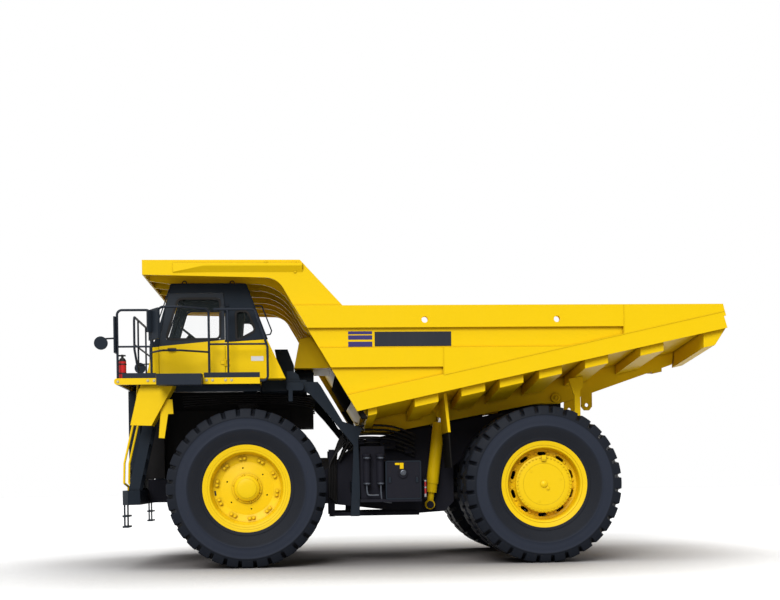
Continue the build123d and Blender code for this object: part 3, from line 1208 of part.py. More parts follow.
# Deck carriers: cross beam behind the deck, braces to the frame with their gussets, and towers
BRACE_Y = 1750.0
RESERVOIR_Y = 1985.0
with BuildPart() as deck_braces:
    block(DECK_X0 - 760.0, DECK_X0, -BRACE_Y - 75.0, BRACE_Y + 75.0, BEARER_LOW_Z, DECK_TOP_Z)
    for sign in (1, -1):
        plate(
            from_front(
                [
                    (-900, DECK_TOP_Z - 34.0),
                    (-1194, DECK_TOP_Z - 34.0),
                    (-1245, DECK_TOP_Z - 100.0),
                    (-1610, 2427),
                    (-1948, 2307),
                    (-1868, 2130),
                    (-1890, 1200),
                    (-1877, CLEARANCE_Z + 20.0),
                    (-1726, CLEARANCE_Z + 20.0),
                    (-1790, 2020),
                    (-1350, 2570),
                    (-1053, 2905),
                    (-960, BEARER_LOW_Z + 10.0),
                    (-900, BEARER_LOW_Z + 10.0),
                ]
            ),
            sign * BRACE_Y,
            150.0,
        )
        near, far = sorted((sign * RAIL_OUTER_Y, sign * BRACE_Y))
        block(FRONT_AXLE_X - 1870, FRONT_AXLE_X - 1750, near, far, 1240, 1400)
        block(
            FRONT_AXLE_X - 110.0,
            FRONT_AXLE_X + 110.0,
            sign * (RAIL_Y - 90.0),
            sign * (RAIL_Y + 90.0),
            AXLE_Z + 1300.0,
            DECK_LOW_Z,
        )
        # Side beams under the deck's edge
        near, far = sorted((sign * (DECK_HALF_WIDTH - 240.0), sign * (DECK_HALF_WIDTH - 210.0)))
        block(DECK_X0, FRONT_AXLE_X + 1140.0, near, far, DECK_LOW_Z - 110.0, DECK_LOW_Z)
    # Exhaust outlet under the body's inlet box
    block(FRONT_AXLE_X - 1133.0, FRONT_AXLE_X - 774.0, -800.0, CAB_INNER_Y - 30.0, DECK_TOP_Z - 10.0, 3371.0)
    block(FRONT_AXLE_X - 1100.0, FRONT_AXLE_X - 800.0, -700.0, CAB_INNER_Y - 130.0, 3371.0, 3402.0)
    # Electrical cabinet behind the cab, rounded reservoir on its bracket and the hood between them
    plate(
        from_front(
            [(-440, 3785), (-672, 3785), (-782, 3496), (-782, DECK_TOP_Z - 10), (-560, DECK_TOP_Z - 10)]
        ),
        CAB_INNER_Y - 120.0,
        200.0,
    )
    plate(
        from_front(
            [(-672, 3290), (-790, 3290), (-870, 3230), (-900, DECK_TOP_Z - 10), (-672, DECK_TOP_Z - 10)]
        ),
        BRACE_Y - 200.0,
        500.0,
    )
    with BuildSketch(side_plane(RESERVOIR_Y)):
        with Locations((FRONT_AXLE_X - 811.0, 3020.0)):
            RectangleRounded(292.0, 134.0, 45.0)
    extrude(amount=RESERVOIR_Y - BRACE_Y - 75.0)
    block(FRONT_AXLE_X - 770, FRONT_AXLE_X - 700, RESERVOIR_Y - 14, RESERVOIR_Y, 2770, 3000)
deck_braces.part.label = "deck_braces"
export_step(deck_braces.part, "parts/deck_braces.step")

# Service rack on the left: shelf and bracket, battery box and two filters
RACK_Z = 1095.0
BOX_CAP_RADIUS = 75.0
RACK_OUTER_Y = 2000.0
RACK_FRONT_X = FRONT_AXLE_X - 1890.0
BOX_FRONT_X = FRONT_AXLE_X - 2328.0
BOX_REAR_X = FRONT_AXLE_X - WHEELBASE / 2 - 440.0
BOX_INNER_Y = 1350.0
BOX_TOP_Z = 1733.0
FILTER_Y = 1865.0
with BuildPart() as service_rack:
    block(RACK_FRONT_X - 260.0, RACK_FRONT_X, RAIL_OUTER_Y, RACK_OUTER_Y, RACK_Z - 45, RACK_Z)
    block(BOX_REAR_X - 15, RACK_FRONT_X, BOX_INNER_Y, RACK_OUTER_Y, RACK_Z - 45, RACK_Z)
    block(RACK_FRONT_X - 425, RACK_FRONT_X - 15, 1740, 1775, RACK_Z, 2000)
    for x, radius in ((RACK_FRONT_X - 115, 62.0), (RACK_FRONT_X - 350, 68.0)):
        upright_bar(x, FILTER_Y, radius, 1330.0, 1820.0)
        upright_bar(x, FILTER_Y, radius + 14.0, 1820.0, 1868.0)
        block(x - 40.0, x + 40.0, 1770.0, FILTER_Y, 1600.0, 1700.0)
    block(BOX_REAR_X, BOX_FRONT_X, BOX_INNER_Y, RACK_OUTER_Y, RACK_Z - 10, BOX_TOP_Z)
    with BuildSketch(side_plane(RACK_OUTER_Y)):
        with Locations((FRONT_AXLE_X - 2614.0, 1525.0)):
            Circle(BOX_CAP_RADIUS)
    extrude(amount=-22.0)
service_rack.part.label = "service_rack"
export_step(service_rack.part, "parts/service_rack.step")

# Fuel tank on the right, with its straps' brackets
TANK_FACE_Y = -1230.0
TANK_WIDTH = 880.0
TANK_FRONT_X = FRONT_AXLE_X - 1930.0
TANK_REAR_X = FRONT_AXLE_X - WHEELBASE / 2 - 485.0
with BuildPart() as fuel_tank:
    with BuildSketch(Plane(origin=(TANK_REAR_X, 0, 0), x_dir=(0, 1, 0), z_dir=(1, 0, 0))):
        with Locations((TANK_FACE_Y - TANK_WIDTH / 2, 1450.0)):
            RectangleRounded(TANK_WIDTH, 1000.0, 160.0)
    extrude(amount=TANK_FRONT_X - TANK_REAR_X)
    for x in (TANK_REAR_X + 90.0, TANK_FRONT_X - 270.0):
        block(x, x + 90, TANK_FACE_Y - 5.0, -RAIL_OUTER_Y, 1250, 1650)
fuel_tank.part.label = "fuel_tank"
export_step(fuel_tank.part, "parts/fuel_tank.step")

# Access ladders: side plates and treads between bumper and deck
LADDER_FOOT_X = FRONT_AXLE_X + 1895.0
LADDER_SIDE = from_front(
    [
        (1805, BUMPER_TOP_Z),
        (1985, BUMPER_TOP_Z),
        (1750, 2331),
        (1750, DECK_LOW_Z),
        (1570, DECK_LOW_Z),
        (1570, 2331),
    ]
)
with BuildPart() as access_ladders:
    for sign in (1, -1):
        for y in (1500.0, 1940.0):
            plate(LADDER_SIDE, sign * y, 30.0)
        for row in range(6):
            z = BUMPER_TOP_Z + 240.0 + 260.0 * row
            x = LADDER_FOOT_X - (z - BUMPER_TOP_Z) * 0.21
            block(x - 70.0, x + 70.0, sign * 1515.0, sign * 1925.0, z, z + 28.0)
access_ladders.part.label = "access_ladders"
export_step(access_ladders.part, "parts/access_ladders.step")

# Handrails and toe boards on the deck: runs of (x from the front axle, y, z), left side
RAIL_EDGE_Y = DECK_HALF_WIDTH - 30.0
BOARD_TOP_Z = DECK_TOP_Z + TOE_BOARD_HEIGHT
HANDRAIL_Z = 4254.0
MID_RAIL_Z = 3657.0
PLATFORM_Y = RAIL_EDGE_Y + 350.0
FRONT_RAIL_X = 1900.0
CORNER_X = 2058.0
FRONT_POST_X = 1513.0
DOOR_POST_X = 578.0
REAR_POST_X = 268.0
LAST_POST_X = -375.0
BOTH_SIDES_RUNS = [
    [
        (CORNER_X, RAIL_EDGE_Y, DECK_TOP_Z),
        (CORNER_X, RAIL_EDGE_Y, HANDRAIL_Z),
        (FRONT_POST_X, RAIL_EDGE_Y, HANDRAIL_Z),
        (FRONT_POST_X, RAIL_EDGE_Y, DECK_TOP_Z),
    ],
]
CENTRE_RUNS = [
    [
        (FRONT_RAIL_X - 70, -1600, DECK_TOP_Z),
        (FRONT_RAIL_X - 70, -1600, DECK_TOP_Z + 120),
        (FRONT_RAIL_X, -1600, 3700),
        (FRONT_RAIL_X, -1600, HANDRAIL_Z),
        (FRONT_RAIL_X, 1600, HANDRAIL_Z),
        (FRONT_RAIL_X, 1600, 3700),
        (FRONT_RAIL_X - 70, 1600, DECK_TOP_Z + 120),
        (FRONT_RAIL_X - 70, 1600, DECK_TOP_Z),
    ],
]
LEFT_RUNS = [
    [
        (FRONT_POST_X, RAIL_EDGE_Y, HANDRAIL_Z - 80),
        (1300, PLATFORM_Y, HANDRAIL_Z + 8),
        (1010, PLATFORM_Y, HANDRAIL_Z + 8),
        (DOOR_POST_X, RAIL_EDGE_Y, HANDRAIL_Z + 8),
        (DOOR_POST_X, RAIL_EDGE_Y, DECK_TOP_Z),
    ],
    [
        (505, RAIL_EDGE_Y, HANDRAIL_Z + 8),
        (-175, RAIL_EDGE_Y, HANDRAIL_Z + 8),
        (LAST_POST_X, RAIL_EDGE_Y, 3640),
        (LAST_POST_X, RAIL_EDGE_Y, DECK_TOP_Z - 52),
        (DECK_REAR, RAIL_EDGE_Y, DECK_TOP_Z - 52),
    ],
]
RIGHT_RUNS = [
    [
        (FRONT_POST_X, -RAIL_EDGE_Y, HANDRAIL_Z),
        (LAST_POST_X + 160, -RAIL_EDGE_Y, HANDRAIL_Z),
        (LAST_POST_X + 160, -RAIL_EDGE_Y, DECK_TOP_Z),
    ],
]
STEP_X0 = FRONT_AXLE_X + 680.0
STEP_X1 = FRONT_AXLE_X + 1400.0
# Thinner mid rails and posts between those runs
THIN_RUNS = [
    [(CORNER_X, RAIL_EDGE_Y, MID_RAIL_Z), (FRONT_POST_X, RAIL_EDGE_Y, MID_RAIL_Z)],
    [
        (FRONT_POST_X, RAIL_EDGE_Y, 3560),
        (1300, PLATFORM_Y, 3560),
        (1010, PLATFORM_Y, 3560),
        (DOOR_POST_X, RAIL_EDGE_Y, 3560),
    ],
    [(REAR_POST_X, RAIL_EDGE_Y, DECK_TOP_Z), (REAR_POST_X, RAIL_EDGE_Y, HANDRAIL_Z)],
    [(DOOR_POST_X, RAIL_EDGE_Y, 3690), (LAST_POST_X + 12, RAIL_EDGE_Y, 3690)],
    [(CORNER_X, -RAIL_EDGE_Y, MID_RAIL_Z), (LAST_POST_X + 160, -RAIL_EDGE_Y, MID_RAIL_Z)],
    [(DOOR_POST_X, -RAIL_EDGE_Y, DECK_TOP_Z), (DOOR_POST_X, -RAIL_EDGE_Y, HANDRAIL_Z)],
    [(FRONT_RAIL_X, -1080, DECK_TOP_Z), (FRONT_RAIL_X, -1080, HANDRAIL_Z)],
    [(FRONT_RAIL_X, 0, DECK_TOP_Z), (FRONT_RAIL_X, 0, HANDRAIL_Z)],
    [(FRONT_RAIL_X, 1080, DECK_TOP_Z), (FRONT_RAIL_X, 1080, HANDRAIL_Z)],
    [(FRONT_RAIL_X, -1600, 3780), (FRONT_RAIL_X, 1600, 3780)],
]
with BuildPart() as handrails:
    for run in BOTH_SIDES_RUNS:
        for sign in (1, -1):
            pipe([(FRONT_AXLE_X + x, sign * y, z) for x, y, z in run], TUBE_RADIUS, 80.0)
    for run in CENTRE_RUNS + LEFT_RUNS + RIGHT_RUNS:
        pipe([(FRONT_AXLE_X + x, y, z) for x, y, z in run], TUBE_RADIUS, 80.0)
    for run in THIN_RUNS:
        pipe([(FRONT_AXLE_X + x, y, z) for x, y, z in run], TUBE_RADIUS - 4.0, 80.0)
    # Toe boards stand on the edge beam beside the posts
    board_y = RAIL_EDGE_Y + TUBE_RADIUS
    block(FRONT_AXLE_X + FRONT_POST_X - 70, DECK_X1 - 130, board_y - 6, board_y + 2, DECK_TOP_Z, BOARD_TOP_Z)
    block(DECK_X0, FRONT_AXLE_X + 665, board_y - 6, board_y + 2, DECK_TOP_Z, BOARD_TOP_Z)
    block(DECK_X0, DECK_X1 - 130, -board_y - 2, -board_y + 6, DECK_TOP_Z, BOARD_TOP_Z)
    # Step platform at the cab door
    block(STEP_X0, STEP_X1, DECK_HALF_WIDTH, PLATFORM_Y + 25, DECK_LOW_Z - 30, DECK_TOP_Z + 45)
    inside = (STEP_X0 + 30, STEP_X1 - 30, DECK_HALF_WIDTH, PLATFORM_Y - 5)
    block(*inside, DECK_LOW_Z, DECK_TOP_Z + 50, mode=Mode.SUBTRACT)
    block(*inside, DECK_TOP_Z - 25, DECK_TOP_Z)
handrails.part.label = "handrails"
export_step(handrails.part, "parts/handrails.step")

# Cab shell: one hollow form, cut at the waist into its two painted shells
WAIST_FRONT = (FRONT_AXLE_X + 1640.0, 3660.0)
WAIST_REAR = (FRONT_AXLE_X - 368.0, 3790.0)
WAIST_SLOPE = (WAIST_REAR[1] - WAIST_FRONT[1]) / (WAIST_REAR[0] - WAIST_FRONT[0])
CAB_OUTLINE = from_front(
    [
        (1640, DECK_TOP_Z),
        (1513, 3681),
        (1200, CAB_ROOF_Z),
        (-20, CAB_ROOF_Z),
        (-368, 3780),
        (-661, DECK_TOP_Z),
    ]
)
DOOR_OUTLINE = from_front([(1414, 3215), (1414, 3681), (1255, 4560), (352, 4560), (334, 4400), (334, 3215)])
DOOR_WINDOW = from_front([(1300, 3800), (1095, 4472), (402, 4472), (410, 3800)])
QUARTER_WINDOW = from_front([(139, 3770), (152, 4262), (-46, 4262), (-175, 3935)])
GRAB_LOOP = [(-130, 4360), (-280, 4360), (-436, 3945), (-416, 3885), (-312, 3870)]
WINDSHIELD_TOP_Z = 4560.0
WINDSHIELD_LOW_Z = 3760.0
WINDSHIELD_MARGIN = 90.0
REAR_WINDOW_TOP_Z = 4450.0
REAR_WINDOW_LOW_Z = 3900.0
REAR_WINDOW_MARGIN = 250.0


def cab_form():
    """Adds the whole cab shell with its openings."""
    middle = (CAB_OUTER_Y + CAB_INNER_Y) / 2
    width = CAB_OUTER_Y - CAB_INNER_Y
    plate(CAB_OUTLINE, middle, width)
    with BuildSketch(side_plane(middle)) as inner:
        with BuildLine():
            Polyline(*CAB_OUTLINE, close=True)
        make_face()
        offset(amount=-CAB_WALL, mode=Mode.REPLACE)
    extrude(inner.sketch, amount=(width - 2 * CAB_WALL) / 2, both=True, mode=Mode.SUBTRACT)
    # Door opening and side windows
    with BuildSketch(side_plane(CAB_OUTER_Y + 10.0)) as doorway:
        with BuildLine():
            Polyline(*DOOR_OUTLINE, close=True)
        make_face()
        offset(amount=DOOR_GAP, kind=Kind.INTERSECTION)
    extrude(doorway.sketch, amount=CAB_WALL + 20.0, mode=Mode.SUBTRACT)
    plate(QUARTER_WINDOW, middle, width + 20.0, mode=Mode.SUBTRACT)
    plate(DOOR_WINDOW, CAB_INNER_Y + CAB_WALL / 2, CAB_WALL + 20.0, mode=Mode.SUBTRACT)
    # Windshield and rear window
    block(
        FRONT_AXLE_X + 1000.0,
        FRONT_AXLE_X + 1800.0,
        CAB_INNER_Y + WINDSHIELD_MARGIN,
        CAB_OUTER_Y - WINDSHIELD_MARGIN,
        WINDSHIELD_LOW_Z,
        WINDSHIELD_TOP_Z,
        mode=Mode.SUBTRACT,
    )
    block(
        FRONT_AXLE_X - 500.0,
        FRONT_AXLE_X + 60.0,
        CAB_INNER_Y + REAR_WINDOW_MARGIN,
        CAB_OUTER_Y - REAR_WINDOW_MARGIN,
        REAR_WINDOW_LOW_Z,
        REAR_WINDOW_TOP_Z,
        mode=Mode.SUBTRACT,
    )
    # Grab loop on the rear corner post
    loop_y = CAB_OUTER_Y - 120.0
    pipe([(FRONT_AXLE_X + x, loop_y, z) for x, z in GRAB_LOOP], 11.0, 24.0)


HINGE_X = FRONT_AXLE_X + 331.0
HINGE_Y = CAB_OUTER_Y + 14.0
HINGE_RADIUS = 13.0
HINGE_HEIGHT = 60.0
HINGE_ZS = [3380.0, 4280.0]


def hinge_leaf(reach, low, high):
    """One knuckle of a door hinge with its leaf on the outer face, reaching forward or back."""
    upright_bar(HINGE_X, HINGE_Y, HINGE_RADIUS, low, high)
    near, far = sorted((HINGE_X, HINGE_X + reach))
    block(near, far, CAB_OUTER_Y, HINGE_Y, low, high)


waist = Plane(
    origin=(WAIST_FRONT[0], 0, WAIST_FRONT[1]),
    x_dir=(1, 0, WAIST_SLOPE),
    z_dir=(-WAIST_SLOPE, 0, 1),
)
for name, kept in (("cab_lower", Keep.BOTTOM), ("cab_upper", Keep.TOP)):
    with BuildPart() as cab_shell:
        cab_form()
        for z in HINGE_ZS:
            hinge_leaf(-70.0, z + HINGE_HEIGHT + RUNNING_GAP, z + HINGE_HEIGHT + 30.0)
            hinge_leaf(-70.0, z - 30.0, z - RUNNING_GAP)
        split(bisect_by=waist, keep=kept)
    cab_shell.part.label = name
    export_step(cab_shell.part, f"parts/{name}.step")

with BuildPart() as cab_door:
    with BuildSketch(side_plane(CAB_OUTER_Y)):
        with BuildLine():
            Polyline(*DOOR_OUTLINE, close=True)
        make_face()
        with BuildLine():
            Polyline(*DOOR_WINDOW, close=True)
        make_face(mode=Mode.SUBTRACT)
    extrude(amount=DOOR_THICKNESS)
    cross_bar(FRONT_AXLE_X + 1210.0, 3615.0, 14.0, CAB_OUTER_Y - 5.0, CAB_OUTER_Y + 40.0)
    for z in HINGE_ZS:
        hinge_leaf(70.0, z, z + HINGE_HEIGHT)
cab_door.part.label = "cab_door"
export_step(cab_door.part, "parts/cab_door.step")

with BuildPart() as door_glass:
    with BuildSketch(side_plane(CAB_OUTER_Y - DOOR_THICKNESS / 2)):
        with BuildLine():
            Polyline(*DOOR_WINDOW, close=True)
        make_face()
    extrude(amount=GLASS)
door_glass.part.label = "door_glass"
export_step(door_glass.part, "parts/door_glass.step")



def pane(face_low, face_high, inward, z0, z1, margin):
    """Sloping pane within a cab wall: two points of the wall's face, the way in, heights, margin."""
    slope = (face_high[0] - face_low[0]) / (face_high[1] - face_low[1])
    outline = []
    for z, depth in ((z0, 0.0), (z1, 0.0), (z1, GLASS), (z0, GLASS)):
        outline.append((face_low[0] + slope * (z - face_low[1]) + inward * (CAB_WALL / 2 + depth), z))
    plate(outline, (CAB_OUTER_Y + CAB_INNER_Y) / 2, CAB_WIDTH - 2 * margin)


with BuildPart() as cab_glass:
    pane(CAB_OUTLINE[1], CAB_OUTLINE[2], -1, WINDSHIELD_LOW_Z, WINDSHIELD_TOP_Z, WINDSHIELD_MARGIN)
    pane(CAB_OUTLINE[4], CAB_OUTLINE[3], 1, REAR_WINDOW_LOW_Z, REAR_WINDOW_TOP_Z, REAR_WINDOW_MARGIN)
    with BuildSketch(side_plane(CAB_OUTER_Y - CAB_WALL / 2)):
        with BuildLine():
            Polyline(*QUARTER_WINDOW, close=True)
        make_face()
    extrude(amount=GLASS)
    with BuildSketch(side_plane(CAB_INNER_Y + CAB_WALL / 2)):
        with BuildLine():
            Polyline(*QUARTER_WINDOW, close=True)
        make_face()
        with BuildLine():
            Polyline(*DOOR_WINDOW, close=True)
        make_face()
    extrude(amount=GLASS)
cab_glass.part.label = "cab_glass"
export_step(cab_glass.part, "parts/cab_glass.step")

# Cab interior: seat, second seat, console and steering wheel
CAB_FLOOR_Z = DECK_TOP_Z + CAB_WALL
SEAT_Y = (CAB_OUTER_Y + CAB_INNER_Y) / 2 + 180.0
SEAT_BACK = [(100, 440), (230, 440), (150, 1120), (40, 1120)]  # x from the front axle, height over the floor
CONSOLE = [(1380, 0), (1080, 0), (1130, 480), (1330, 560)]
CUSHION_Z = CAB_FLOOR_Z + 330.0
with BuildPart() as cab_interior:
    block(FRONT_AXLE_X + 160, FRONT_AXLE_X + 560, SEAT_Y - 200, SEAT_Y + 200, CAB_FLOOR_Z, CUSHION_Z)
    block(FRONT_AXLE_X + 100, FRONT_AXLE_X + 620, SEAT_Y - 270, SEAT_Y + 270, CUSHION_Z, CUSHION_Z + 130)
    plate(from_front([(x, CAB_FLOOR_Z + z) for x, z in SEAT_BACK]), SEAT_Y, 480.0)
    plate(
        from_front([(x, CAB_FLOOR_Z + z) for x, z in CONSOLE]),
        (CAB_OUTER_Y + CAB_INNER_Y) / 2,
        1400.0,
    )
    pipe(
        [
            (FRONT_AXLE_X + 1180.0, SEAT_Y, CAB_FLOOR_Z + 450.0),
            (FRONT_AXLE_X + 960.0, SEAT_Y, CAB_FLOOR_Z + 720.0),
        ],
        35.0,
        0,
    )
    with BuildSketch(
        Plane(
            origin=(FRONT_AXLE_X + 960.0, SEAT_Y, CAB_FLOOR_Z + 720.0),
            x_dir=(0, 1, 0),
            z_dir=(-220.0, 0, 270.0),
        )
    ):
        Circle(215.0)
    extrude(amount=28.0)
cab_interior.part.label = "cab_interior"
export_step(cab_interior.part, "parts/cab_interior.step")

# Mirrors: a rectangular one out at each side, a tall one and a round one ahead of the deck
MIRROR_Y = 3250.0
MIRROR_X = FRONT_AXLE_X + 1375.0
ROUND_MIRROR_X = FRONT_AXLE_X + 2323.0
with BuildPart() as mirrors:
    for sign in (1, -1):
        for z in (3880.0, 4100.0):
            pipe(
                [
                    (FRONT_AXLE_X + FRONT_POST_X, sign * (RAIL_EDGE_Y + TUBE_RADIUS + 15.0), z),
                    (MIRROR_X + 60.0, sign * (MIRROR_Y - 120.0), z),
                ],
                14.0,
                0,
            )
            block(
                FRONT_AXLE_X + FRONT_POST_X - 24.0,
                FRONT_AXLE_X + FRONT_POST_X + 24.0,
                sign * (RAIL_EDGE_Y + TUBE_RADIUS + RUNNING_GAP),
                sign * (RAIL_EDGE_Y + TUBE_RADIUS + 32.0),
                z - 30.0,
                z + 30.0,
            )
        tilt = Plane(
            origin=(MIRROR_X, sign * MIRROR_Y, 3692.0),
            x_dir=(-0.47, sign * 0.88, 0),
            z_dir=(0, 0, 1),
        )
        with BuildSketch(tilt):
            Rectangle(400.0, 36.0)
        extrude(amount=485.0)
        with BuildSketch(tilt.offset(120.0)):
            with Locations((-60.0, -sign * 45.0)):
                Rectangle(60.0, 90.0)
        extrude(amount=340.0)
        # Tall mirror on the front post
        block(
            FRONT_AXLE_X + CORNER_X + TUBE_RADIUS + RUNNING_GAP,
            FRONT_AXLE_X + 2112.0,
            sign * (RAIL_EDGE_Y - 200.0),
            sign * (RAIL_EDGE_Y + 60.0),
            3557.0,
            4148.0,
        )
        # Round mirror on its arms
        near, far = sorted((sign * (RAIL_EDGE_Y - 30.0), sign * (RAIL_EDGE_Y + 25.0)))
        cross_bar(ROUND_MIRROR_X, 3719.0, 108.0, near, far)
        pipe(
            [
                (FRONT_AXLE_X + 2100.0, sign * (RAIL_EDGE_Y - 36.0), 3800.0),
                (ROUND_MIRROR_X, sign * (RAIL_EDGE_Y - 36.0), 3790.0),
            ],
            14.0,
            0,
        )
mirrors.part.label = "mirrors"
export_step(mirrors.part, "parts/mirrors.step")

# Fire extinguisher at the front left corner of the deck
EXTINGUISHER_X = DECK_X1 - 116.0
EXTINGUISHER_Y = DECK_HALF_WIDTH - 160.0
EXTINGUISHER_HEIGHT = 340.0
with BuildPart() as fire_extinguisher:
    with BuildSketch(Plane.XZ):
        with BuildLine():
            Polyline(
                (0, 0),
                (62.0, 0),
                (62.0, EXTINGUISHER_HEIGHT - 40.0),
                (40.0, EXTINGUISHER_HEIGHT),
                (22.0, EXTINGUISHER_HEIGHT),
                (22.0, EXTINGUISHER_HEIGHT + 60.0),
                (0, EXTINGUISHER_HEIGHT + 60.0),
                close=True,
            )
        make_face()
    revolve(axis=Axis.Z)
    fire_extinguisher.part.position = (EXTINGUISHER_X, EXTINGUISHER_Y, DECK_TOP_Z)
fire_extinguisher.part.label = "fire_extinguisher"
export_step(fire_extinguisher.part, "parts/fire_extinguisher.step")
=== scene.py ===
import json
import math

import bmesh
import bpy
from mathutils import Matrix, Vector


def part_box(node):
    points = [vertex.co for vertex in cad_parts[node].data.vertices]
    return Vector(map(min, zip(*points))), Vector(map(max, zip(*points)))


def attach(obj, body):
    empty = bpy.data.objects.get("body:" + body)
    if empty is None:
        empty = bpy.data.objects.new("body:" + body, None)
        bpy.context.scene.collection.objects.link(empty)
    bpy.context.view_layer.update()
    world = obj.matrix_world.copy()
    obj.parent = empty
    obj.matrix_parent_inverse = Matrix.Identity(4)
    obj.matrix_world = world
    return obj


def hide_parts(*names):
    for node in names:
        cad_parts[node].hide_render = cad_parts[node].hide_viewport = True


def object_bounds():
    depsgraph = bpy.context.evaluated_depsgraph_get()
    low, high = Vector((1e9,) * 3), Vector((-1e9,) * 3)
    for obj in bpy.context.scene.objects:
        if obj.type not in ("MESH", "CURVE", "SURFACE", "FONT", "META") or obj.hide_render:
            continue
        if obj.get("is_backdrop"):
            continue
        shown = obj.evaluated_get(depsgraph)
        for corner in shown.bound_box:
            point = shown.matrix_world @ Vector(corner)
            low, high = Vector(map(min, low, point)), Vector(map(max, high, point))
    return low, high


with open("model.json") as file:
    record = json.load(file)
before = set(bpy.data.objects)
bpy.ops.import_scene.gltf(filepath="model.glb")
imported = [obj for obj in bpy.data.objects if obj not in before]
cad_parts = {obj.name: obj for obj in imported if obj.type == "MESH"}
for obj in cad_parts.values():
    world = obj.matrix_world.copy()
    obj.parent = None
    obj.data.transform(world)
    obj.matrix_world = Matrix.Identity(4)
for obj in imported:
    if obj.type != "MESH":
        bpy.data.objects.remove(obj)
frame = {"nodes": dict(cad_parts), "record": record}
CAD_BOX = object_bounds()
NODES = frame["nodes"]

# Places on the truck, in metres, in the row frame
FRONT_AXLE_X = 2.7975
REAR_AXLE_X = FRONT_AXLE_X - 4.950
TYRE_RADIUS = 1.315
FRONT_WHEEL_Y = 2.1625
TWIN_Y = 1.750
HALF_TWIN = 0.430
CAB_SIDE_Y = 2.250
CAB_INNER_Y = 0.560
SIDES = (("left", 1), ("right", -1))


def from_front(x, y, z):
    """A place given in millimetres ahead of the front axle, in metres in the row frame."""
    return Vector((FRONT_AXLE_X + x / 1000, y / 1000, z / 1000))


# Mesh tools. Edges that turn by more than a piece's angle, in degrees, are shaded sharp
PANEL_ANGLE = 35.0
FITTING_ANGLE = 30.0
TYRE_ANGLE = 32.0
TUBE_ANGLE = 50.0
LENS_ANGLE = 60.0
THIN_CHAMFER = 0.001
STILL = Matrix.Identity(4)


def in_scene(name, data):
    """A new object in the scene's collection."""
    made = bpy.data.objects.new(name, data)
    bpy.context.scene.collection.objects.link(made)
    return made


def new_piece(name, mesh, material, body, stands_for=()):
    """A piece of the truck from a mesh: its material and the body it rides on."""
    piece = in_scene(name, mesh)
    if not mesh.materials:
        mesh.materials.append(material)
    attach(piece, body)
    if stands_for:
        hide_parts(*stands_for)
    return piece


def smooth(mesh, degrees):
    """Smooth shading, kept sharp over edges steeper than the angle."""
    for polygon in mesh.polygons:
        polygon.use_smooth = True
    mesh.set_sharp_from_angle(angle=math.radians(degrees))


def mesh_from(form, name, degrees=PANEL_ANGLE):
    """Closes a bmesh into a mesh with consistent normals and shading."""
    bmesh.ops.recalc_face_normals(form, faces=form.faces)
    mesh = bpy.data.meshes.new(name)
    form.to_mesh(mesh)
    form.free()
    smooth(mesh, degrees)
    return mesh


def panel(name, form, material, body, degrees=PANEL_ANGLE):
    """A flat-sided piece of the truck from a bmesh."""
    return new_piece(name, mesh_from(form, name, degrees), material, body)


def fitting(name, form, material, body):
    """A turned or bolted piece of the truck from a bmesh."""
    return panel(name, form, material, body, FITTING_ANGLE)


def add_turned(form, profile, segments, place, closed=False):
    """Turns (radius, height) points round the local Z axis of place."""
    rings = []
    for radius, height in profile:
        if radius < 1e-6:
            rings.append([form.verts.new(place @ Vector((0, 0, height)))])
            continue
        ring = []
        for i in range(segments):
            angle = 2 * math.pi * i / segments
            ring.append(form.verts.new(place @ Vector((radius * math.cos(angle), radius * math.sin(angle), height))))
        rings.append(ring)
    pairs = list(zip(rings, rings[1:]))
    if closed:
        pairs.append((rings[-1], rings[0]))
    for low, high in pairs:
        for i in range(segments):
            j = (i + 1) % segments
            if len(low) == 1 and len(high) == 1:
                continue
            if len(low) == 1:
                form.faces.new((low[0], high[i], high[j]))
            elif len(high) == 1:
                form.faces.new((low[i], low[j], high[0]))
            else:
                form.faces.new((low[i], low[j], high[j], high[i]))


def add_prism(form, outline, low, high, place=STILL):
    """Prism on an outline of (x, y) points between two heights along the local Z axis of place."""
    floor = [form.verts.new(place @ Vector((x, y, low))) for x, y in outline]
    roof = [form.verts.new(place @ Vector((x, y, high))) for x, y in outline]
    form.faces.new(floor)
    form.faces.new(roof)
    for i in range(len(outline)):
        j = (i + 1) % len(outline)
        form.faces.new((floor[i], floor[j], roof[j], roof[i]))


def add_plate(form, low, high, chamfer=0.002):
    """Box between two corners with chamfered edges."""
    made = bmesh.ops.create_cube(form, size=1.0)
    middle = (Vector(low) + Vector(high)) / 2
    spans = Vector(high) - Vector(low)
    for vert in made["verts"]:
        vert.co = Vector([middle[i] + vert.co[i] * spans[i] for i in range(3)])
    edges = list(dict.fromkeys(edge for vert in made["verts"] for edge in vert.link_edges))
    offset = min(chamfer, min(abs(span) for span in spans) * 0.4)
    bmesh.ops.bevel(form, geom=edges, offset=offset, segments=1, affect="EDGES")


def outward(x, y, z, side):
    """Placement whose local Z points out of the truck's side: side is 1 left, -1 right."""
    return Matrix.Translation((x, y, z)) @ Matrix.Rotation(math.radians(-90 * side), 4, "X")


def round_hub(place, radius, degrees, height=0.0):
    """Placement at an angle and radius round a hub, keeping its outward axis."""
    angle = math.radians(degrees)
    away = Matrix.Translation((radius * math.cos(angle), radius * math.sin(angle), height))
    return place @ away @ Matrix.Rotation(angle, 4, "Z")


def add_bolt(form, place, across, height, washer=True):
    """Hexagon bolt head on its washer, standing on the local XY plane of place."""
    if washer:
        rim, top = across * 0.85, height * 0.18
        add_turned(form, [(0, -0.001), (rim, -0.001), (rim, top), (0, top)], 16, place)
    hexagon = [
        (0, 0.0),
        (across * 0.575, 0.0),
        (across * 0.575, height * 0.85),
        (across * 0.5, height),
        (0, height),
    ]
    add_turned(form, hexagon, 6, place)


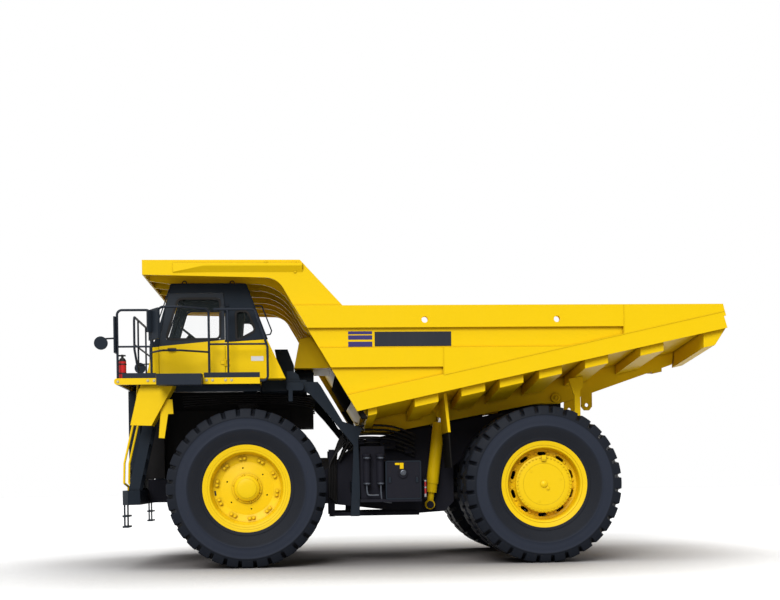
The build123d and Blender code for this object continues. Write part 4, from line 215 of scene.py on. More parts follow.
def tube_mesh(name, runs, radius, order=3):
    """One mesh of round tubes along several point lists, each a smooth curve."""
    curve = bpy.data.curves.new(name, "CURVE")
    curve.dimensions = "3D"
    curve.bevel_depth = radius
    curve.bevel_resolution = 3
    curve.resolution_u = 6
    curve.use_fill_caps = True
    for run in runs:
        spline = curve.splines.new("NURBS")
        spline.points.add(len(run) - 1)
        for point, place in zip(spline.points, run):
            point.co = (*place, 1.0)
        spline.order_u = min(order, len(run))
        spline.use_endpoint_u = True
    holder = in_scene(name, curve)
    mesh = bpy.data.meshes.new_from_object(holder)
    bpy.data.objects.remove(holder)
    bpy.data.curves.remove(curve)
    smooth(mesh, TUBE_ANGLE)
    return mesh


def tubes(name, runs, radius, material, body, order=3):
    """A piece of the truck made of round tubes."""
    return new_piece(name, tube_mesh(name, runs, radius, order), material, body)


def both_sides(runs):
    """Tube runs of the left side, and the same mirrored to the right."""
    return runs + [[Vector((spot.x, -spot.y, spot.z)) for spot in run] for run in runs]


def side_surface(node_name, x, z, side):
    """The y at which a CAD piece's outer side lies at a place, seen from the truck's side."""
    hit, spot, _, _ = NODES[node_name].ray_cast(Vector((x, side * 6.0, z)), Vector((0, -side, 0)))
    return spot.y if hit else None


def rounded_outline(corners, radius, steps=5):
    """Rounds the corners of a closed polygon of (x, z) points."""
    points = []
    count = len(corners)
    for i, corner in enumerate(corners):
        here = Vector(corner)
        back = (Vector(corners[i - 1]) - here).normalized()
        ahead = (Vector(corners[(i + 1) % count]) - here).normalized()
        for step in range(steps + 1):
            t = step / steps
            points.append(tuple(here + back * radius * (1 - t) ** 2 + ahead * radius * t ** 2))
    return points


def add_band(form, outline, half_width, near_y, far_y):
    """Flat band along a closed outline in the XZ plane, between two depths."""
    count = len(outline)
    loops = {}
    for key, offset in (("in", -half_width), ("out", half_width)):
        ring = []
        for i in range(count):
            along = (Vector(outline[(i + 1) % count]) - Vector(outline[i - 1])).normalized()
            normal = Vector((along.y, -along.x))
            ring.append(Vector(outline[i]) + normal * offset)
        for depth, y in (("near", near_y), ("far", far_y)):
            loops[key, depth] = [form.verts.new((p.x, y, p.y)) for p in ring]
    order = [loops["in", "near"], loops["out", "near"], loops["out", "far"], loops["in", "far"]]
    for a, b in zip(order, order[1:] + order[:1]):
        for i in range(count):
            j = (i + 1) % count
            form.faces.new((a[i], a[j], b[j], b[i]))


# Shader node groups
NUMBER = "NodeSocketFloat"
COLOUR = "NodeSocketColor"
VECTOR = "NodeSocketVector"


def feed(tree, fed, inputs):
    """Gives a node's inputs, by name or by place, a plain value or a link from another node's output."""
    for name, value in inputs.items():
        if isinstance(value, bpy.types.NodeSocket):
            tree.links.new(value, fed.inputs[name])
        else:
            fed.inputs[name].default_value = value


def node(tree, kind, inputs=None, **settings):
    """A node of a tree with its settings and inputs."""
    made = tree.nodes.new(kind)
    for key, value in settings.items():
        setattr(made, key, value)
    feed(tree, made, inputs or {})
    return made


def math_node(tree, operation, a, b=None, clamp=False):
    """A Math node fed by outputs or numbers; returns its output."""
    inputs = {0: a} if b is None else {0: a, 1: b}
    return node(tree, "ShaderNodeMath", inputs, operation=operation, use_clamp=clamp).outputs[0]


def mix_colours(tree, factor, a, b, blend="MIX"):
    """Mixes two colours by a factor; returns the colour output."""
    return node(tree, "ShaderNodeMix", {0: factor, 6: a, 7: b}, data_type="RGBA", blend_type=blend).outputs[2]


def own_place(tree):
    """Output with the place in the object's own coordinates."""
    return node(tree, "ShaderNodeTexCoord").outputs["Object"]


def noise(tree, place, scale, detail, roughness=0.5):
    """A noise texture at a place; returns its output."""
    inputs = {"Vector": place, "Scale": scale, "Detail": detail, "Roughness": roughness}
    return node(tree, "ShaderNodeTexNoise", inputs).outputs[0]


def new_group(name, inputs, outputs):
    """A node group with inputs (name, kind, default) and outputs (name, kind); returns it and its two ends."""
    group = bpy.data.node_groups.new(name, "ShaderNodeTree")
    for title, kind, default in inputs:
        group.interface.new_socket(name=title, in_out="INPUT", socket_type=kind).default_value = default
    for title, kind in outputs:
        group.interface.new_socket(name=title, in_out="OUTPUT", socket_type=kind)
    return group, group.nodes.new("NodeGroupInput").outputs, group.nodes.new("NodeGroupOutput")


def build_worn_edges():
    """Softened edges and a broken mask along them, where paint or rubber rubs off and the edge is painted lighter as a
    highlight.
    """
    group, given, out = new_group(
        "worn_edge_highlights",
        [("Width", NUMBER, 0.01), ("Breakup", NUMBER, 0.5)],
        [("Mask", NUMBER), ("Normal", VECTOR)],
    )
    rounded = node(group, "ShaderNodeBevel", {"Radius": given["Width"]}, samples=4).outputs["Normal"]
    normal = node(group, "ShaderNodeNewGeometry").outputs["Normal"]
    turn = node(group, "ShaderNodeVectorMath", {0: rounded, 1: normal}, operation="DOT_PRODUCT").outputs["Value"]
    edge = math_node(group, "MULTIPLY", math_node(group, "SUBTRACT", 1.0, turn), 4.0, clamp=True)
    chips = noise(group, own_place(group), 35.0, 4.0, 0.7)
    broken = math_node(group, "SUBTRACT", chips, given["Breakup"])
    broken = math_node(group, "MULTIPLY", broken, 6.0, clamp=True)
    feed(group, out, {"Mask": math_node(group, "MULTIPLY", edge, broken), "Normal": rounded})
    return group


WORN_EDGE_HIGHLIGHTS = build_worn_edges()


def build_dusty_paint():
    """Paint with faint mottling, dust in clouds and on upward faces, painted shade in corners and worn edges painted
    lighter as a highlight.
    """
    group, given, out = new_group(
        "dusty_paint",
        [
            ("Paint", COLOUR, (0.8, 0.5, 0.0, 1)),
            ("Dust", COLOUR, (0.4, 0.33, 0.22, 1)),
            ("Worn Edge Highlight", COLOUR, (0.3, 0.3, 0.3, 1)),
            ("Dust Amount", NUMBER, 0.1),
            ("Wear Highlight Amount", NUMBER, 0.2),
            ("Edge Width", NUMBER, 0.008),
            ("Mottle", NUMBER, 0.06),
            ("Gloss", NUMBER, 0.35),
            ("Ripple", NUMBER, 0.15),
            ("Crevice Shade", NUMBER, 0.5),
        ],
        [("Colour", COLOUR), ("Roughness", NUMBER), ("Normal", VECTOR)],
    )
    place = own_place(group)
    clouds = noise(group, place, 1.1, 5.0, 0.6)
    fine = noise(group, place, 24.0, 6.0, 0.65)
    stretched = node(group, "ShaderNodeMapping", {"Vector": place, "Scale": (3.0, 3.0, 0.35)})
    streaks = noise(group, stretched.outputs["Vector"], 3.0, 4.0, 0.55)
    # Dust: clouds, plus what settles on faces that look up
    normal = node(group, "ShaderNodeNewGeometry").outputs["Normal"]
    upward = node(group, "ShaderNodeSeparateXYZ", {0: normal}).outputs[2]
    settled = math_node(group, "MULTIPLY", math_node(group, "MAXIMUM", upward, 0.0), 0.8)
    cloud_part = math_node(group, "MULTIPLY", clouds, streaks)
    dust = math_node(group, "ADD", math_node(group, "MULTIPLY", cloud_part, 1.6), settled)
    dust = math_node(group, "MULTIPLY", dust, given["Dust Amount"], clamp=True)
    # Mottle: brighter and darker paint
    shade = math_node(group, "SUBTRACT", math_node(group, "ADD", clouds, fine), 1.0)
    shade = math_node(group, "ADD", math_node(group, "MULTIPLY", shade, given["Mottle"]), 1.0)
    grey = node(group, "ShaderNodeCombineXYZ", {0: shade, 1: shade, 2: shade}).outputs[0]
    toned = mix_colours(group, 1.0, given["Paint"], grey, "MULTIPLY")
    surface_colour = mix_colours(group, dust, toned, given["Dust"])
    # Painted shade: the colour darkens in corners and round bolts, where ambient occlusion finds them shut in
    open_air = node(group, "ShaderNodeAmbientOcclusion", {"Distance": 0.05}, samples=4).outputs["AO"]
    shut = math_node(group, "SUBTRACT", 1.0, open_air)
    shut = math_node(group, "MULTIPLY", shut, given["Crevice Shade"], clamp=True)
    crevice_shaded = mix_colours(group, 1.0, surface_colour, (0.28, 0.22, 0.20, 1.0), "MULTIPLY")
    surface_colour = mix_colours(group, shut, surface_colour, crevice_shaded)
    # Worn edges: the colour is mixed towards a lighter copy, a painted highlight where edges catch the light, broken up
    # like wear
    worn_highlight = node(group, "ShaderNodeGroup", {"Breakup": 0.5, "Width": given["Edge Width"]}, node_tree=WORN_EDGE_HIGHLIGHTS)
    worn_edge_highlight = math_node(group, "MULTIPLY", worn_highlight.outputs["Mask"], given["Wear Highlight Amount"], clamp=True)
    rough = math_node(group, "ADD", given["Gloss"], math_node(group, "MULTIPLY", dust, 0.5))
    rough = math_node(group, "ADD", rough, math_node(group, "MULTIPLY", fine, 0.08), clamp=True)
    relief = math_node(group, "ADD", clouds, math_node(group, "MULTIPLY", fine, 0.15))
    bump = node(group, "ShaderNodeBump", {
        "Distance": 0.002,
        "Height": relief,
        "Strength": given["Ripple"],
        "Normal": worn_highlight.outputs["Normal"],
    })
    feed(group, out, {
        "Colour": mix_colours(group, worn_edge_highlight, surface_colour, given["Worn Edge Highlight"]),
        "Roughness": rough,
        "Normal": bump.outputs["Normal"],
    })
    return group


DUSTY_PAINT = build_dusty_paint()


def build_colour_border():
    """Mask of what lies above a straight border line drawn on the truck's side."""
    names = ("Start X", "Start Z", "End X", "End Z")
    group, given, out = new_group("colour_border", [(name, NUMBER, 0.0) for name in names], [("Above", NUMBER)])
    split = node(group, "ShaderNodeSeparateXYZ", {0: own_place(group)}).outputs
    run = math_node(group, "SUBTRACT", given["End X"], given["Start X"])
    share = math_node(group, "SUBTRACT", split[0], given["Start X"])
    share = math_node(group, "DIVIDE", share, run, clamp=True)
    rise = math_node(group, "SUBTRACT", given["End Z"], given["Start Z"])
    line = math_node(group, "ADD", given["Start Z"], math_node(group, "MULTIPLY", share, rise))
    feed(group, out, {"Above": math_node(group, "GREATER_THAN", split[2], line)})
    return group


COLOUR_BORDER = build_colour_border()


def build_facing():
    """Masks of the faces that look up and those that look down."""
    group, _, out = new_group("facing", [], [("Up", NUMBER), ("Down", NUMBER)])
    normal = node(group, "ShaderNodeNewGeometry").outputs["True Normal"]
    upward = node(group, "ShaderNodeSeparateXYZ", {0: normal}).outputs[2]
    feed(group, out, {
        "Up": math_node(group, "GREATER_THAN", upward, 0.85),
        "Down": math_node(group, "LESS_THAN", upward, -0.75),
    })
    return group


FACING = build_facing()

DUST = (0.42, 0.36, 0.27, 1)
# Painted shade: how strongly corners and crevices are darkened
CORNER_SHADE = 0.9


def new_material(name):
    """A material with nodes; returns it, its tree and its shader."""
    material = bpy.data.materials.new(name)
    material.use_nodes = True
    return material, material.node_tree, material.node_tree.nodes["Principled BSDF"]


def painted(
    name, colour, gloss=0.35, dust=0.03, mottle=0.05, ripple=0.15, metallic=0.0, level=0.5, wear_highlight=0.15,
    edge=0.008, ior=1.45,
):
    """Material of dusty paint, cast metal or rubber in one base colour; level is its specular level."""
    material, tree, shader = new_material(name)
    # A lighter copy of the colour for the worn edges: painted highlight
    worn_edge_highlight = [min(1.0, channel * 1.25 + 0.02) for channel in colour]
    paint = node(tree, "ShaderNodeGroup", {
        "Paint": (*colour, 1.0),
        "Dust": DUST,
        "Worn Edge Highlight": (*worn_edge_highlight, 1.0),
        "Dust Amount": dust,
        "Wear Highlight Amount": wear_highlight,
        "Edge Width": edge,
        "Mottle": mottle,
        "Gloss": gloss,
        "Ripple": ripple,
        "Crevice Shade": CORNER_SHADE,
    }, node_tree=DUSTY_PAINT, name="paint")
    feed(tree, shader, {
        "Base Color": paint.outputs["Colour"],
        "Roughness": paint.outputs["Roughness"],
        "Normal": paint.outputs["Normal"],
        "Metallic": metallic,
        "Specular IOR Level": level,
        "IOR": ior,
    })
    return material


YELLOW = (0.855, 0.568, 0.002)
SLATE = (0.015, 0.021, 0.030)

yellow_paint = painted("yellow_paint", YELLOW, gloss=0.36, dust=0.015, mottle=0.04, level=0.15, ior=1.35)
rim_paint = painted("rim_paint", YELLOW, gloss=0.32, dust=0.02, mottle=0.04, level=0.2, edge=0.006)
slate_paint = painted("slate_paint", SLATE, gloss=0.42, dust=0.012, mottle=0.15, level=0.1, ior=1.3)
rail_paint = painted(
    "rail_paint", (0.018, 0.024, 0.036), gloss=0.4, dust=0.015, mottle=0.1, level=0.15, ior=1.35, edge=0.004,
)
cast_metal = painted(
    "cast_metal", (0.017, 0.0165, 0.0175), gloss=0.55, dust=0.012, mottle=0.3, ripple=0.5, level=0.12, ior=1.3,
)
flap_rubber = painted(
    "flap_rubber", (0.012, 0.012, 0.012), gloss=0.8, dust=0.02, mottle=0.2, ripple=0.4, level=0.03, ior=1.03,
)
polished_rod = painted(
    "polished_rod", (0.62, 0.63, 0.65), gloss=0.1, dust=0.01, mottle=0.03, metallic=1.0, ripple=0.02,
)
rack_paint = painted(
    "rack_paint", (0.013, 0.0135, 0.020), gloss=0.45, dust=0.01, mottle=0.15, level=0.1, ior=1.3, edge=0.004,
)
hose_black = painted("hose_black", (0.008, 0.008, 0.009), gloss=0.45, dust=0.02, mottle=0.2, level=0.2, edge=0.002)
pipe_steel = painted("pipe_steel", (0.07, 0.08, 0.10), gloss=0.3, dust=0.03, mottle=0.2, metallic=0.6, edge=0.002)
bolt_zinc = painted("bolt_zinc", (0.42, 0.38, 0.24), gloss=0.35, dust=0.03, mottle=0.1, metallic=0.5, edge=0.002)
black_plastic = painted("black_plastic", (0.008, 0.009, 0.010), gloss=0.4, dust=0.03, mottle=0.1, level=0.3, edge=0.004)
red_paint = painted("red_paint", (0.62, 0.014, 0.016), gloss=0.25, dust=0.03, edge=0.003)
seat_cloth = painted("seat_cloth", (0.012, 0.013, 0.015), gloss=0.85, dust=0.03, mottle=0.3, ripple=0.8, level=0.2)
navy_paint = painted("navy_paint", (0.030, 0.024, 0.150), gloss=0.35, dust=0.02, level=0.25, edge=0.002)
badge_paint = painted("badge_paint", (0.009, 0.012, 0.021), gloss=0.35, dust=0.02, level=0.25, edge=0.002)
plate_white = painted("plate_white", (0.70, 0.70, 0.70), gloss=0.35, dust=0.03, level=0.3, edge=0.002)
window_rubber = painted("window_rubber", (0.008, 0.008, 0.009), gloss=0.6, dust=0.03, level=0.2, edge=0.003)
lamp_bowl = painted("lamp_bowl", (0.75, 0.76, 0.78), gloss=0.12, dust=0.01, mottle=0.03, metallic=0.9, edge=0.002)



def two_tone(name, above, below, start, end, **paint):
    """Paint of two colours that meet on a border line across the side."""
    material = painted(name, below, **paint)
    tree = material.node_tree
    line = {"Start X": start[0], "Start Z": start[1], "End X": end[0], "End Z": end[1]}
    border = node(tree, "ShaderNodeGroup", line, node_tree=COLOUR_BORDER)
    colour = mix_colours(tree, border.outputs["Above"], (*below, 1.0), (*above, 1.0))
    feed(tree, tree.nodes["paint"], {"Paint": colour})
    return material


door_front = from_front(1424, 0, 3681)
door_rear = from_front(333, 0, 3784)
door_paint = two_tone("door_paint", SLATE, YELLOW, door_front.xz, door_rear.xz, gloss=0.36, dust=0.015, level=0.15)
EXTINGUISHER_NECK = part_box("fire_extinguisher")[1][2] - 0.115
red_bottle = two_tone(
    "red_bottle", (0.01, 0.01, 0.011), (0.62, 0.014, 0.016), (4.0, EXTINGUISHER_NECK), (5.0, EXTINGUISHER_NECK),
    gloss=0.25, dust=0.02, level=0.3, edge=0.003,
)


def deck_finish():
    """Yellow deck with dark gritty treads on top, and faces looking down painted slate as painted shade."""
    material = painted("deck_paint", YELLOW, gloss=0.38, dust=0.015, level=0.15)
    tree = material.node_tree
    facing = node(tree, "ShaderNodeGroup", node_tree=FACING).outputs
    # Painted shade: faces that look down take the dark slate colour
    colour = mix_colours(tree, facing["Down"], (*YELLOW, 1.0), (*SLATE, 1.0))
    colour = mix_colours(tree, facing["Up"], colour, (0.02, 0.021, 0.024, 1.0))
    feed(tree, tree.nodes["paint"], {"Paint": colour})
    return material


deck_paint = deck_finish()


def build_tyre_bands():
    """Radius about the wheel's axle, as masks of the sidewall band and of the dark zone by the bead."""
    group, given, out = new_group(
        "tyre_bands",
        [("Band Low", NUMBER, 0.98), ("Band High", NUMBER, 1.16)],
        [("Band", NUMBER), ("Bead", NUMBER), ("Rings", NUMBER)],
    )
    flat = node(group, "ShaderNodeVectorMath", {0: own_place(group), 1: (1, 1, 0)}, operation="MULTIPLY").outputs[0]
    reach = node(group, "ShaderNodeVectorMath", {0: flat}, operation="LENGTH").outputs["Value"]
    bead = math_node(group, "SUBTRACT", given["Band Low"], reach)
    bead = math_node(group, "MULTIPLY", bead, 18.0, clamp=True)
    inside = math_node(group, "SUBTRACT", given["Band High"], reach)
    inside = math_node(group, "MULTIPLY", inside, 60.0, clamp=True)
    waves = math_node(group, "SINE", math_node(group, "MULTIPLY", reach, 900.0))
    feed(group, out, {
        "Bead": bead,
        "Band": math_node(group, "SUBTRACT", inside, bead, clamp=True),
        "Rings": math_node(group, "MULTIPLY", waves, bead),
    })
    return group


TYRE_BANDS = build_tyre_bands()


def tyre_finish():
    """Rubber: dark lugs, a lighter blue-grey band on the sidewall and a dark ringed zone by the bead, tinted bluish
    grey as a painted reflection of the floor.
    """
    material = painted(
        "tyre_rubber", (0.010, 0.012, 0.017), gloss=0.5, dust=0.006, mottle=0.12, ripple=0.35, level=0.12,
        ior=1.35, wear_highlight=0.1, edge=0.006,
    )
    tree = material.node_tree
    paint = tree.nodes["paint"]
    bands = node(tree, "ShaderNodeGroup", {"Band Low": 0.985, "Band High": 1.158}, node_tree=TYRE_BANDS).outputs
    colour = mix_colours(tree, bands["Band"], (0.0105, 0.0130, 0.0190, 1), (0.022, 0.027, 0.041, 1))
    # Bead zone: dark rubber tinted lighter and bluish, a painted reflection of the floor below
    colour = mix_colours(tree, bands["Bead"], colour, (0.0135, 0.0155, 0.0210, 1))
    feed(tree, paint, {"Paint": colour})
    ringed = node(tree, "ShaderNodeBump", {
        "Strength": 0.25,
        "Distance": 0.002,
        "Height": bands["Rings"],
        "Normal": paint.outputs["Normal"],
    })
    feed(tree, tree.nodes["Principled BSDF"], {"Normal": ringed.outputs["Normal"]})
    return material


tyre_rubber = tyre_finish()


def build_glass_haze():
    """Uneven tint, faint smears and slight waviness over glass."""
    group, given, out = new_group(
        "glass_haze",
        [("Tint", COLOUR, (0.3, 0.38, 0.38, 1)), ("Smear", NUMBER, 0.06)],
        [("Colour", COLOUR), ("Roughness", NUMBER), ("Normal", VECTOR)],
    )
    haze = noise(group, own_place(group), 2.0, 3.0)
    lighter = mix_colours(group, 1.0, given["Tint"], (1.25, 1.25, 1.25, 1.0), "MULTIPLY")
    wave = node(group, "ShaderNodeBump", {"Strength": 0.05, "Distance": 0.001, "Height": haze})
    feed(group, out, {
        "Colour": mix_colours(group, haze, given["Tint"], lighter),
        "Roughness": math_node(group, "MULTIPLY", haze, given["Smear"]),
        "Normal": wave.outputs["Normal"],
    })
    return group


GLASS_HAZE = build_glass_haze()


def tinted_glass(name, colour, alpha):
    """Window glass: a faint tint that mirrors the sky, let through by alpha."""
    material, tree, shader = new_material(name)
    haze = node(tree, "ShaderNodeGroup", {"Tint": (*colour, 1.0), "Smear": 0.06}, node_tree=GLASS_HAZE).outputs
    feed(tree, shader, {
        "Base Color": haze["Colour"],
        "Roughness": haze["Roughness"],
        "Normal": haze["Normal"],
        "Alpha": alpha,
        "IOR": 1.45,
    })
    return material


window_glass = tinted_glass("window_glass", (0.30, 0.38, 0.38), 0.02)
lens_glass = tinted_glass("lens_glass", (0.75, 0.78, 0.80), 0.35)
tail_lens = tinted_glass("tail_lens", (0.35, 0.01, 0.01), 0.85)

FINISHES = {
    "body_yellow": yellow_paint,
    "rim_yellow": rim_paint,
    "frame_slate": slate_paint,
    "rail_slate": rail_paint,
    "tyre_rubber": tyre_rubber,
    "cast_dark": cast_metal,
    "hoist_rod_chrome": polished_rod,
    "window_glass": window_glass,
    "mirror_black": slate_paint,
    "interior_black": seat_cloth,
    "pad_rubber": flap_rubber,
    "extinguisher_red": red_paint,
    "lamp_white": slate_paint,
}
OWN_FINISHES = {
    "deck": deck_paint,
    "cab_door": door_paint,
    "main_frame": rack_paint,
    "service_rack": rack_paint,
    "rock_ejectors": yellow_paint,
    "fire_extinguisher": red_bottle,
}
for part in frame["record"]["subparts"]:
    solid = NODES[part["node"]]
    solid.data.materials.clear()
    solid.data.materials.append(OWN_FINISHES.get(part["node"], FINISHES[part["material_slot"]]))


# Tyres: 32 pitches, with slots that run in from each shoulder, those of one shoulder between those of the other
PITCHES = 32
PITCH = 360.0 / PITCHES
SLOT_FLOOR_SHOULDER = (0.356, 1.190)
SLOT_FLOOR_END = (0.065, 1.315)
TYRE_SECTION = [
    (0.6405, 0.236), (0.690, 0.262), (0.716, 0.297), (0.727, 0.308), (0.745, 0.315), (0.776, 0.319),
    (0.782, 0.314), (0.800, 0.318), (0.860, 0.340), (0.930, 0.360), (0.972, 0.367), (0.980, 0.370),
    (0.988, 0.3665), (1.040, 0.370), (1.100, 0.369), (1.148, 0.364), (1.156, 0.367), (1.164, 0.367),
    (1.170, 0.361), (1.186, 0.357), (1.204, 0.352), (1.232, 0.342), (1.262, 0.328), (1.290, 0.314),
    (1.307, 0.304), (1.315, 0.292), (1.315, 0.250), (1.315, 0.200), (1.315, 0.150), (1.315, 0.100),
    (1.315, 0.065),
]
SHOULDER_RADIUS = 1.18
# Stations across a slot in degrees: its edges, the worn lips inside them, the floor and its middle
SLOT_STATIONS = [-1.78, -1.60, -1.16, 0.0, 1.16, 1.60, 1.78]
FLOOR_REACH = 1.5
LIP_REACH = 1.7
LIP_DROP = 0.004
SLOT_END_SHARE = 0.40
SLOT_FLARE = 0.2


def slot_floor(width):
    """Radius of a slot's floor at a distance from the tyre's middle."""
    (w0, r0), (w1, r1) = SLOT_FLOOR_SHOULDER, SLOT_FLOOR_END
    return r0 + (w0 - width) / (w0 - w1) * (r1 - r0)


def ring_points(radius, width, side):
    """One ring of the tyre: side is 1 for its outer half, -1 for its inner half and 0 for the middle."""
    points = []
    for pitch in range(PITCHES):
        for own, centre in ((1, PITCH / 2), (-1, PITCH)):
            for station in SLOT_STATIONS:
                reach = radius
                taper = 1.0
                if own == side and radius > SHOULDER_RADIUS:
                    flare = min(1.0, max(0.0, (width - SLOT_FLOOR_END[0]) / SLOT_FLARE))
                    taper = SLOT_END_SHARE + (1 - SLOT_END_SHARE) * flare
                    if abs(station) < FLOOR_REACH:
                        reach = min(radius, slot_floor(width))
                    elif abs(station) < LIP_REACH:
                        reach = radius - LIP_DROP
                points.append((centre + pitch * PITCH + station * taper, reach))
            points.append((centre + pitch * PITCH + PITCH / 4, radius))
    return [(r * math.cos(math.radians(a)), r * math.sin(math.radians(a)), side * width) for a, r in points]


def add_tyre(form, middle):
    """One tyre about the local Z axis, its middle at a height along it."""
    inner = [(radius, width, -1) for radius, width in TYRE_SECTION]
    outer = [(radius, width, 1) for radius, width in reversed(TYRE_SECTION)]
    rings = []
    for radius, width, side in inner + [(TYRE_RADIUS, 0.0, 0)] + outer:
        rings.append([form.verts.new((x, y, z + middle)) for x, y, z in ring_points(radius, width, side)])
    count = len(rings[0])
    for low, high in zip(rings, rings[1:] + rings[:1]):
        for i in range(count):
            j = (i + 1) % count
            form.faces.new((low[i], low[j], high[j], high[i]))


def tyre_mesh(name, middles):
    """Mesh of the tyres that turn on one hub."""
    form = bmesh.new()
    for middle in middles:
        add_tyre(form, middle)
    return mesh_from(form, name, TYRE_ANGLE)


single_tyre = tyre_mesh("lugged_tyre", (0.0,))
twin_tyres = tyre_mesh("lugged_twin_tyres", (-HALF_TWIN, HALF_TWIN))
for side_name, side in SIDES:
    front = new_piece(
        f"lugged_front_tyre_{side_name}", single_tyre, tyre_rubber,
        f"front_wheel_{side_name}", [f"front_tyre_{side_name}"],
    )
    front.matrix_world = outward(FRONT_AXLE_X, side * FRONT_WHEEL_Y, TYRE_RADIUS, side)
    rear = new_piece(
        f"lugged_rear_tyres_{side_name}", twin_tyres, tyre_rubber,
        f"rear_wheels_{side_name}", [f"rear_tyres_{side_name}"],
    )
    rear.matrix_world = outward(REAR_AXLE_X, side * TWIN_Y, TYRE_RADIUS, side)


# Foot of the front wall: the plate that closes the wedge between it and the V of the floor
WALL_FOOT_X = 0.8315
WALL_FOOT_Z = 2.553
WALL_LEAN = 0.581
FOOT_PLATE_DEPTH = 0.030
FOOT_CORNERS = [(-1.50, 2.562), (-1.50, 2.548), (0.0, 2.424), (1.50, 2.548), (1.50, 2.562), (0.0, 2.562)]
foot_form = bmesh.new()
foot_faces = []
for depth in (0.0, FOOT_PLATE_DEPTH):
    corners = [(WALL_FOOT_X + depth + (z - WALL_FOOT_Z) * WALL_LEAN, y, z) for y, z in FOOT_CORNERS]
    foot_faces.append([foot_form.verts.new(corner) for corner in corners])
back_face, front_face = foot_faces
foot_form.faces.new(back_face)
foot_form.faces.new(front_face)
for i in range(len(FOOT_CORNERS)):
    j = (i + 1) % len(FOOT_CORNERS)
    foot_form.faces.new((back_face[i], back_face[j], front_face[j], front_face[i]))
panel("wall_foot_plate", foot_form, yellow_paint, "bed")


# Wheel hubs
def turns(count, first=0.0):
    """Angles in degrees of places spaced evenly round a hub."""
    return [first + 360 / count * i for i in range(count)]


def stadium(length, width, steps=6):
    """Outline of a slot with round ends, lengthwise along Y."""
    points = []
    for turn, sign in ((0, 1), (180, -1)):
        for step in range(steps + 1):
            angle = math.radians(turn + 180 * step / steps)
            points.append((width / 2 * math.cos(angle), sign * (length - width) / 2 + width / 2 * math.sin(angle)))
    return points


COVER_FACE = 0.690
DISC_FACE = 0.500
DISC_SLOTS = 10
NUT_SPREAD = 6.5
REAR_RIM_SECTION = [
    (0.0, 0.690), (0.3475, 0.690), (0.3495, 0.686), (0.3515, 0.690), (0.462, 0.690), (0.473, 0.686),
    (0.476, 0.678), (0.476, 0.654), (0.464, 0.650), (0.458, 0.640), (0.456, 0.512), (0.466, 0.500),
    (0.572, 0.500), (0.588, 0.508), (0.596, 0.530), (0.602, 0.660), (0.606, 0.700), (0.616, 0.716),
    (0.640, 0.721), (0.648, 0.7155), (0.656, 0.723), (0.700, 0.732), (0.735, 0.737), (0.745, 0.732),
    (0.745, 0.715), (0.640, 0.671), (0.640, 0.189), (0.745, 0.145), (0.745, 0.125), (0.640, 0.125),
    (0.640, -0.125), (0.745, -0.125), (0.745, -0.145), (0.640, -0.189), (0.640, -0.671), (0.745, -0.715),
    (0.745, -0.735), (0.614, -0.735), (0.610, 0.440), (0.352, 0.430), (0.335, -0.100), (0.2005, -0.100),
    (0.2005, 0.470), (0.0, 0.470),
]


def rear_rim_mesh():
    """Twin rims on one hub with its big bolted cover and ten slots in the disc round it."""
    form = bmesh.new()
    add_turned(form, REAR_RIM_SECTION, 144, STILL)
    body = in_scene("rear_rims_turned", mesh_from(form, "rear_rims_turned", FITTING_ANGLE))
    cutters = bmesh.new()
    for degrees in turns(DISC_SLOTS, 18):
        add_prism(cutters, stadium(0.150, 0.062), 0.40, 0.60, round_hub(STILL, 0.516, degrees))
    cutter = in_scene("disc_slots", mesh_from(cutters, "disc_slots"))
    cut = body.modifiers.new("slots", "BOOLEAN")
    cut.operation = "DIFFERENCE"
    cut.solver = "EXACT"
    cut.object = cutter
    depsgraph = bpy.context.evaluated_depsgraph_get()
    made = bpy.data.meshes.new_from_object(body.evaluated_get(depsgraph))
    made.name = "rear_rims_slotted"
    bpy.data.objects.remove(body)
    bpy.data.objects.remove(cutter)
    smooth(made, FITTING_ANGLE)
    made.materials.clear()
    return made


def rear_hub_fittings():
    """Bolts round the hub cover, nuts between the slots, the middle cap with its plug and the valve block."""
    form = bmesh.new()
    for degrees in turns(44):
        add_bolt(form, round_hub(STILL, 0.450, degrees, COVER_FACE - 0.001), across=0.026, height=0.016, washer=False)
    for degrees in turns(DISC_SLOTS):
        for away in (-NUT_SPREAD, NUT_SPREAD):
            add_bolt(form, round_hub(STILL, 0.522, degrees + away, DISC_FACE), across=0.034, height=0.026)
    add_turned(form, [(0.060, 0.688), (0.060, 0.697), (0.050, 0.704), (0.030, 0.716), (0.0, 0.720)], 32, STILL)
    plug = Matrix.Translation((-0.067, 0.075, 0.0))
    add_turned(form, [(0.030, 0.689), (0.030, 0.695), (0.018, 0.698), (0.016, 0.704), (0.0, 0.705)], 20, plug)
    for degrees in turns(3, 75):
        add_turned(form, [(0.014, 0.689), (0.014, 0.694), (0.0, 0.695)], 12, round_hub(STILL, 0.30, degrees))
    block = [(-0.037, -0.485), (0.037, -0.485), (0.037, -0.385), (-0.037, -0.385)]
    add_prism(form, block, 0.688, 0.722)
    for x in (-0.018, 0.018):
        add_bolt(form, Matrix.Translation((x, -0.410, 0.722)), across=0.018, height=0.010)
    return mesh_from(form, "rear_hub_fittings", FITTING_ANGLE)


